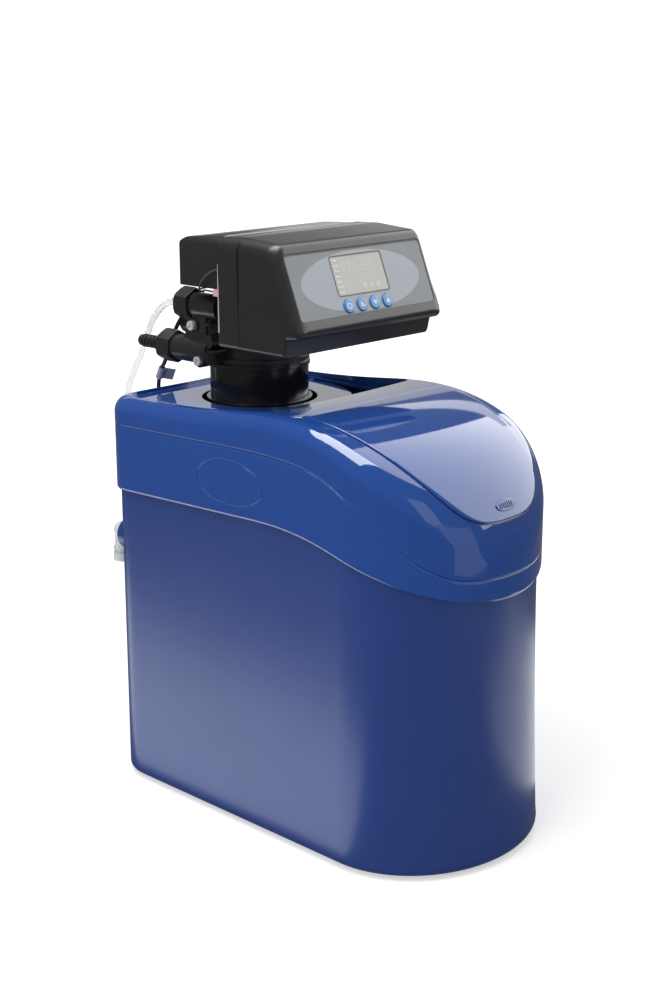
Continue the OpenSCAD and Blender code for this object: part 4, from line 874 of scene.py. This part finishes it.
# buttons: their middles on the panel, and the heights of the symbols on them
KEYS = ("menu", "manual", "down", "up")
BUTTON_X = [-1.1 + (i - 1.5) * 17 for i in range(4)]
BUTTON_Y = -22.4
BUTTON_R, BUTTON_RIM_R, BUTTON_BORE_R = 6.1, 7.4, 7.8
MARK_W = (1.2, 1.72)
SYMBOLS = {
    "manual": [rounded(5.2, 1.2, 0.4, 0, -1.6), rounded(1.3, 4.4, 0.4, -1.5, 0.4),
               rounded(1.1, 3.2, 0.4, 0.6, 0.2)],
    "down": [[(-2.8, 1.9), (0, -2.5), (2.8, 1.9)]],
    "up": [[(-2.8, -1.9), (2.8, -1.9), (0, 2.5)]],
}


def build_head():
    ys = list(HEAD_TIP + HEAD_FRONT_R * (1 - np.cos(np.linspace(0.12, QUARTER, 14))))
    ys += list(np.linspace(-33, -29, 4)) + [-28, -27, -26, -25, -24.5, -24, -22, -19]
    ys += list(np.linspace(-17, -9.5, 16)) + [-4, 4, 14, 24, 29, 29.5, 30]
    ob = head_loft("head_shell", 0, ys)
    inner = [-40.7, -40.1, -39, -37.5, -35.5, -31.5, -28, -25.5, -24.6, -23, -22, -21.4]
    inner += list(np.linspace(-16, -6, 14)) + [10, 20, 40]
    cut(ob, head_loft("hollow", HEAD_WALL, inner))
    cut(ob, prism("recess", panel_plan(0), on_panel, -1.6, 20))
    cut(ob, prism("opening", panel_plan(4.5), on_panel, -20, 20))
    for x in BUTTON_X:
        cut(ob, prism("bore", circle(BUTTON_BORE_R, 48, x, BUTTON_Y), on_panel, -20, 20))
    return smooth(ob, 34)


def on_button(i):
    """Button frame: the panel's directions, from the middle of button i."""
    def place(u, v, w):
        return on_panel(BUTTON_X[i] + u, BUTTON_Y + v, w)

    return place


def build_button(name, i):
    top = [(BUTTON_R * math.sin(a), 0.9 + 0.8 * math.cos(a) ** 0.8) for a in np.linspace(0.12, 1.5, 12)]
    profile = [(2, -5), (2, -3.4), (BUTTON_RIM_R, -3.4), (BUTTON_RIM_R, -2), (BUTTON_R, -2), (BUTTON_R, 0.9)]
    return smooth(lathe(name, profile + top[::-1], on_button(i), 64), 35)


def build_mark(name, i):
    place = on_button(i)
    if KEYS[i] == "menu":
        ring = prism(name, circle(2.9, 40), place, *MARK_W)
        return cut(ring, prism("hole", circle(1.9, 40), place, 0.5, 3))
    return join(name, [prism("mark", outline, place, *MARK_W) for outline in SYMBOLS[KEYS[i]]])


# display: its middle on the panel, the heights of its marks and boxes, and its digits
DISPLAY_U, DISPLAY_V = -1.1, 5.6
PRINT_W = (-0.22, -0.12)
BOX_W = (-0.22, -0.15)
SEGMENTS = {"a": (0, 1, 1), "b": (1, 0.5, 0), "c": (1, -0.5, 0), "d": (0, -1, 1), "e": (-1, -0.5, 0),
            "f": (-1, 0.5, 0), "g": (0, 0, 1)}
DIGITS = {"0": "abcdef", "8": "abcdefg"}
DIGIT_U, DIGIT_V, DIGIT_W, DIGIT_H, DIGIT_STEP = -19.5, 13, 4.2, 8.6, 7.6
SEGMENT_W, SEGMENT_GAP = 0.7, 0.5


def build_digits(text):
    parts = []
    for k, ch in enumerate(text):
        for s in DIGITS[ch]:
            du, dv, across = SEGMENTS[s]
            size = (DIGIT_W - SEGMENT_GAP, SEGMENT_W) if across else (SEGMENT_W, DIGIT_H / 2 - SEGMENT_GAP)
            u, v = DIGIT_U + k * DIGIT_STEP + du * DIGIT_W / 2, DIGIT_V + dv * DIGIT_H / 2
            parts.append(prism("seg", rounded(*size, 0.3, u, v, 2), on_panel, *PRINT_W))
    return parts


def build_display():
    edge = prism("display_edge", rounded(68.9, 37.7, 3, DISPLAY_U, DISPLAY_V), on_panel, -0.3, 0.22)
    cut(edge, prism("hole", rounded(66.6, 35.6, 2, DISPLAY_U, DISPLAY_V), on_panel, -2, 2))
    ticks = []
    for k in range(7):
        v = 20.3 - 4.9 * k
        ticks.append(prism("tick", rounded(2.6, 1.0, 0.3, -30.2, v, 2), on_panel, *PRINT_W))
        ticks.append(prism("tick", rounded(1.7, 1.5, 0.3, -27.4, v - 0.3, 2), on_panel, *PRINT_W))
    faint = build_digits("880888")
    for u in (-21, -3, 5, 12, 22):
        faint.append(prism("sign", rounded(2.6, 1.3, 0.4, u, 2.2, 2), on_panel, *PRINT_W))
    for u in (2, 11, 20):
        faint.append(prism("field", rounded(4.6, 4.2, 0.6, u, -5.5, 2), on_panel, *BOX_W))
    return smooth(edge, 40), join("display_marks", ticks), join("display_digits", faint)


def build_panel_edge():
    ring = prism("panel_edge", panel_plan(0), on_panel, -0.4, 0.1)
    return cut(ring, prism("hole", rounded(177.2, 58.6, 3.4, 0, -0.4), on_panel, -2, 2))


# bead on the rear edge of the head's frame, light grey as a painted highlight of that edge catching the
# light
BEAD_X, BEAD_Y, BEAD_TOP, BEAD_R = 98.1, 55.2, 549.6, 0.8
BEAD_CORNER_X, BEAD_CORNER_Z, BEAD_CORNER_R = 85, 536.7, 13.1
BEAD_SIDE_Z = (465, 480, 500, 525)


def bead_corner(side, a0, a1):
    angles = np.linspace(a0, a1, 10)
    return [(side * BEAD_CORNER_X + BEAD_CORNER_R * math.cos(a), BEAD_CORNER_Z + BEAD_CORNER_R * math.sin(a))
            for a in angles]


def build_highlight_bead():
    path = [(-BEAD_X, z) for z in BEAD_SIDE_Z] + bead_corner(-1, math.pi, QUARTER)
    path += [(x, BEAD_TOP) for x in (-60, -20, 20, 60)]
    path += bead_corner(1, QUARTER, 0) + [(BEAD_X, z) for z in BEAD_SIDE_Z[::-1]]
    return smooth(tube("head_highlight_bead", [(x, BEAD_Y, z) for x, z in path], (BEAD_R,), 10, (0, 1, 0)), 40)


# supply lead: the route of the solid, one open spline. The coil's pitch is also its step between layers
LEAD_RUN = [(-46, 51, 484), (-46, 70, 484), (-46, 92, 484), (-44, 112, 483.5), (-43, 128, 481.5),
            (-43, 143, 477), (-45, 164, 462), (-44, 180, 441), (-42, 194, 416), (-40, 202, 406),
            (-39, 208, 395), (-39, 210, 382), (-39, 212, 340), (-39, 213, 250), (-39, 215, 180),
            (-39, 218, 110), (-40, 224, 60), (-41, 232, 26), (-40, 242, 9), (-35.6, 249, 4)]
LEAD_TAIL = [(29.25, 249, 8), (32, 241, 9.6), (39, 235.4, 11.4), (47, 234, 12), (53, 234, 12), (58, 234, 12)]
COIL_X, COIL_Y, COIL_Z, COIL_R, COIL_PITCH = -4, 258, 3.5, 31, 4.5
COIL_POINTS, COIL_PER_TURN, COIL_LAYER_TURNS = 157, 24, 3
LEAD_R = 0.002


def lead_points():
    coil = []
    for i in range(COIL_POINTS):
        t = i / COIL_PER_TURN
        r = COIL_R - COIL_PITCH * (t if t < COIL_LAYER_TURNS else 2 * COIL_LAYER_TURNS - t)
        z = COIL_Z + COIL_PITCH * min(1, max(0, (t - 2.75) / 0.5))
        a = math.radians(180 - 360 * t)
        coil.append((COIL_X + r * math.cos(a), COIL_Y + r * math.sin(a), z))
    first, last = [(x, y - 4, z) for x, y, z in (coil[0], coil[-1])]
    return np.array(LEAD_RUN + [first] + coil + [last] + LEAD_TAIL) * MM


def build_lead():
    pts = lead_points()
    data = bpy.data.curves.new("supply_lead", "CURVE")
    data.dimensions = "3D"
    spline = data.splines.new("BEZIER")
    spline.bezier_points.add(len(pts) - 1)
    for i, b in enumerate(spline.bezier_points):
        p = pts[i]
        step = (pts[min(i + 1, len(pts) - 1)] - pts[max(i - 1, 0)]) / 6
        b.handle_left_type = b.handle_right_type = "FREE"
        b.co = p
        b.handle_left = p - step
        b.handle_right = p + step
    spline.resolution_u = 6
    data.bevel_depth = LEAD_R
    data.bevel_resolution = 5
    data.use_fill_caps = True
    length = 0.0
    for a, b in zip(spline.bezier_points, spline.bezier_points[1:]):
        prev = np.array(a.co)
        for t in np.linspace(0, 1, 9)[1:]:
            q = ((1 - t) ** 3 * np.array(a.co) + 3 * t * (1 - t) ** 2 * np.array(a.handle_right)
                 + 3 * t * t * (1 - t) * np.array(b.handle_left) + t ** 3 * np.array(b.co))
            length += float(np.linalg.norm(q - prev))
            prev = q
    return add_object("supply_lead", data), length


# brine tube and sensor leads: the routes of the solids
TUBE_PATH = [(-61, 134, 479), (-61, 142, 479), (-61, 152, 479), (-60, 166, 477), (-58, 180, 470),
             (-54, 195, 459), (-50, 207, 447), (-48, 215.5, 435), (-50, 221, 420), (-57, 224, 404),
             (-66, 224.5, 384), (-70, 222, 350), (-64, 219, 310), (-55, 216, 284), (-50, 212, 273),
             (-50, 205, 272), (-50, 198, 272), (-50, 190, 272)]
TUBE_RADII = (3.2, 2.2)
SENSOR_PATH = [(-91, 53.5, 521), (-91, 61, 520.4), (-90, 74, 517), (-90, 86, 508), (-88, 92, 499),
               (-76, 104, 497), (-60, 113, 496), (-36, 116, 495)]
PLUG_PATH = [(-90, 68.2, 499), (-87, 82, 499), (-80, 95, 497), (-72, 104, 494.5)]
WIRE_R = 0.9
CURVE_STEPS = 10


def build_tube():
    path = catmull(TUBE_PATH, CURVE_STEPS)
    return smooth(tube("clear_tube", path, TUBE_RADII, 28, (1, 0, 0)), 40)


def build_wires():
    paths = [catmull(p, CURVE_STEPS) for p in (SENSOR_PATH, PLUG_PATH)]
    return smooth(join("sensor_wires", [tube("wire", p, (WIRE_R,), 16, (0, 0, 1)) for p in paths]), 40)


def piece(ob, body, slot, *gone, look=None):
    """Gives a piece its body and the slot's material unless look names another."""
    ob.data.materials.clear()
    ob.data.materials.append(MATS[look or slot])
    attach(ob, body)
    if gone:
        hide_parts(*gone)


set_camera()
lead, lead_length = build_lead()
piece(lead, "cabinet", "black_rubber", "power_lead", "lead_coil", "lead_tail")

piece(build_cabinet(), "cabinet", "cabinet_blue", "cabinet_body")
piece(build_skirt(), "cabinet", "cover_blue", "cover_skirt")
piece(build_cover(), "cabinet", "cover_blue", "top_cover")
piece(build_bracket(), "cabinet", "cover_blue")
piece(smooth(lid_form("lid_panel", LID_EDGE), 40), "lid", "cover_blue", "salt_lid")
piece(build_lugs(), "lid", "cover_blue")
piece(build_pad(), "lid", "cover_blue")
piece(build_head(), "cabinet", "black_plastic", "head_front_cover")
for i, key in enumerate(KEYS):
    piece(build_button("cap_" + key, i), "key_" + key, "button_blue", "button_" + key)
for i, key in enumerate(KEYS):
    piece(build_mark("mark_" + key, i), "key_" + key, "white_plastic", look="white_print")
display_edge, display_marks, display_digits = build_display()
piece(display_edge, "cabinet", "black_plastic", look="grey_print")
piece(display_marks, "cabinet", "white_plastic", look="white_print")
piece(display_digits, "cabinet", "white_plastic", look="faint_print")
piece(build_panel_edge(), "cabinet", "black_plastic")
# the bead's light grey is a painted highlight along the frame's rear edge
piece(build_highlight_bead(), "cabinet", "black_plastic", look="rim_grey")
piece(build_tube(), "cabinet", "clear_tube", "brine_tube")
piece(build_wires(), "cabinet", "black_rubber", "sensor_lead", look="wire_grey")

# finish of the nodes that stay: welded, shaded evenly up to sharp edges, in the material of their slot
SHARP = math.radians(32)
WELD = 0.000005


def even_shading():
    tree = bpy.data.node_groups.new("even_shading", "GeometryNodeTree")
    tree.interface.new_socket("Geometry", in_out="INPUT", socket_type="NodeSocketGeometry")
    tree.interface.new_socket("Geometry", in_out="OUTPUT", socket_type="NodeSocketGeometry")
    src = node(tree, "NodeGroupInput")
    out = node(tree, "NodeGroupOutput")
    faces = node(tree, "GeometryNodeSetShadeSmooth", domain="FACE")
    edges = node(tree, "GeometryNodeSetShadeSmooth", domain="EDGE")
    angle = node(tree, "GeometryNodeInputMeshEdgeAngle")
    sharp = node(tree, "FunctionNodeCompare", data_type="FLOAT", operation="GREATER_THAN")
    sharp.inputs[1].default_value = SHARP
    tree.links.new(angle.outputs["Unsigned Angle"], sharp.inputs[0])
    tree.links.new(sharp.outputs["Result"], edges.inputs["Selection"])
    edges.inputs["Shade Smooth"].default_value = False
    tree.links.new(src.outputs[0], faces.inputs["Geometry"])
    tree.links.new(faces.outputs["Geometry"], edges.inputs["Geometry"])
    tree.links.new(edges.outputs["Geometry"], out.inputs[0])
    return tree


shading = even_shading()
slots = {sub["node"]: sub["material_slot"] for sub in frame["record"]["subparts"]}
for name, ob in nodes.items():
    ob.data.materials.clear()
    ob.data.materials.append(MATS[slots[name]])
    weld = ob.modifiers.new("weld", "WELD")
    weld.merge_threshold = WELD
    even = ob.modifiers.new("even", "NODES")
    even.node_group = shading

# floor, world and lights. The floor's glow goes from near to far, between two distances in metres
FLOOR_HALF = 40000
FLOOR_GREY = 0.72
FLOOR_GLOW, FLOOR_GLOW_M = (0.52, 0.9), (0.3, 1.4)
FLOOR_IN_MIRROR = 0.15
WORLD_FILL = 0.46
CARD_CENTRE = np.array((0, -0.05, 0.35))
CARD_COLS, CARD_ROWS = 24, 10


def bare_material(name):
    """New material with only its output node."""
    mat = bpy.data.materials.new(name)
    mat.use_nodes = True
    mat.node_tree.nodes.clear()
    return mat, mat.node_tree, node(mat.node_tree, "ShaderNodeOutputMaterial")


def reflector(ob, strength):
    """Makes an object a studio light that is seen only in reflections."""
    mat, tree, out = bare_material(ob.name)
    light = node(tree, "ShaderNodeEmission")
    light.inputs["Strength"].default_value = strength
    tree.links.new(light.outputs[0], out.inputs["Surface"])
    ob.data.materials.append(mat)
    ob.visible_camera = False
    ob.visible_diffuse = False
    ob.visible_transmission = False
    ob.visible_volume_scatter = False
    ob.visible_shadow = False


def card(name, az, el, dist, strength):
    """Part of a sphere round the object, between angles in degrees, at a distance in metres."""
    verts, faces = [], []
    for i in range(CARD_ROWS + 1):
        e = math.radians(el[0] + (el[1] - el[0]) * i / CARD_ROWS)
        for j in range(CARD_COLS + 1):
            a = math.radians(az[0] + (az[1] - az[0]) * j / CARD_COLS)
            d = np.array([math.sin(a) * math.cos(e), math.cos(a) * math.cos(e), math.sin(e)])
            verts.append((CARD_CENTRE + d * dist) / MM)
    for i in range(CARD_ROWS):
        for j in range(CARD_COLS):
            k = i * (CARD_COLS + 1) + j
            faces.append((k, k + 1, k + CARD_COLS + 2, k + CARD_COLS + 1))
    reflector(make(name, verts, faces), strength)


def sheet(name, corners, strength):
    reflector(make(name, corners, [(0, 1, 2, 3)]), strength)


def build_floor():
    """Pale floor that keeps the shadow, fades to white with distance, and is dim in mirror reflections."""
    f = FLOOR_HALF
    floor = make("floor", [(-f, -f, 0), (f, -f, 0), (f, f, 0), (-f, f, 0)], [(0, 1, 2, 3)])
    mat, tree, out = bare_material("floor")
    diffuse = node(tree, "ShaderNodeBsdfDiffuse")
    diffuse.inputs["Color"].default_value = (FLOOR_GREY, FLOOR_GREY, FLOOR_GREY, 1)
    path = node(tree, "ShaderNodeLightPath").outputs
    coord = node(tree, "ShaderNodeTexCoord")
    far = node(tree, "ShaderNodeVectorMath", operation="LENGTH")
    tree.links.new(coord.outputs["Object"], far.inputs[0])
    seen = calc(tree, "MAXIMUM", path["Is Camera Ray"], path["Is Transmission Ray"])
    lift = calc(tree, "MULTIPLY", seen, spread(tree, far.outputs["Value"], *FLOOR_GLOW, *FLOOR_GLOW_M))
    glow = node(tree, "ShaderNodeEmission")
    tree.links.new(lift, glow.inputs["Strength"])
    both = node(tree, "ShaderNodeAddShader")
    tree.links.new(diffuse.outputs[0], both.inputs[0])
    tree.links.new(glow.outputs[0], both.inputs[1])
    dim = node(tree, "ShaderNodeEmission")
    dim.inputs["Strength"].default_value = FLOOR_IN_MIRROR
    mirrored = calc(tree, "SUBTRACT", path["Is Glossy Ray"], path["Is Transmission Ray"], clamp=True)
    kind = node(tree, "ShaderNodeMixShader")
    tree.links.new(mirrored, kind.inputs[0])
    tree.links.new(both.outputs[0], kind.inputs[1])
    tree.links.new(dim.outputs[0], kind.inputs[2])
    tree.links.new(kind.outputs[0], out.inputs["Surface"])
    floor.data.materials.append(mat)


def build_world():
    """White where it is seen, directly, mirrored or through something clear, and a fill light elsewhere."""
    world = bpy.data.worlds.new("studio")
    scene.world = world
    world.use_nodes = True
    tree = world.node_tree
    back = tree.nodes["Background"]
    path = node(tree, "ShaderNodeLightPath").outputs
    seen = calc(tree, "MAXIMUM", path["Is Camera Ray"], path["Is Glossy Ray"])
    seen = calc(tree, "MAXIMUM", seen, path["Is Transmission Ray"])
    tree.links.new(spread(tree, seen, WORLD_FILL, 1.0, 0, 1), back.inputs["Strength"])
    back.inputs["Color"].default_value = (1, 1, 1, 1)


def lamp(name, place, aim, size, radiance):
    data = bpy.data.lights.new(name, "AREA")
    data.shape = "RECTANGLE"
    data.size, data.size_y = size
    data.energy = radiance * math.pi * size[0] * size[1]
    ob = add_object(name, data)
    ob.location = place
    ob.rotation_mode = "QUATERNION"
    ob.rotation_quaternion = (Vector(place) - Vector(aim)).to_track_quat("Z", "Y")
    ob.visible_glossy = False


build_floor()
build_world()
lamp("top_box", (-0.7, 0.05, 2.3), (0, 0, 0.3), (1.5, 1.6), 3.9)
lamp("left_box", (-2.2, -0.3, 1.3), (0, 0, 0.3), (1.2, 1.4), 1.9)
lamp("right_box", (1.9, -1.4, 1.6), (0, 0, 0.35), (1.2, 1.2), 0.8)
card("grey_dome", (-180, 180), (17, 90), 5.0, 0.2)
card("grey_low", (80, 390), (-1, 17), 5.0, 0.2)
card("back_low", (30, 80), (-1, 17), 4.8, 0.75)
card("right_card", (71, 150), (8, 78), 3.0, 3.4)
card("front_soft", (180, 198), (8, 34), 3.0, 1.1)
sheet("top_sheet", [(-1300, -650, 2600), (450, -650, 2600), (450, 1150, 2600), (-1300, 1150, 2600)], 10.0)
sheet("back_high", [(8, 572, 556), (552, -12, 556), (552, -12, 605), (8, 572, 605)], 1.6)
sheet("front_card", [(-150, -850, 60), (250, -850, 60), (250, -850, 480), (-150, -850, 480)], 0.65)
sheet("left_sheet", [(-430, -100, 1), (-140, -100, 1), (-140, 800, 1), (-430, 800, 1)], 2.5)
sheet("right_sheet", [(160, -600, 1), (600, -600, 1), (600, 0, 1), (160, 0, 1)], 1.5)
scene.view_settings.view_transform = "Standard"
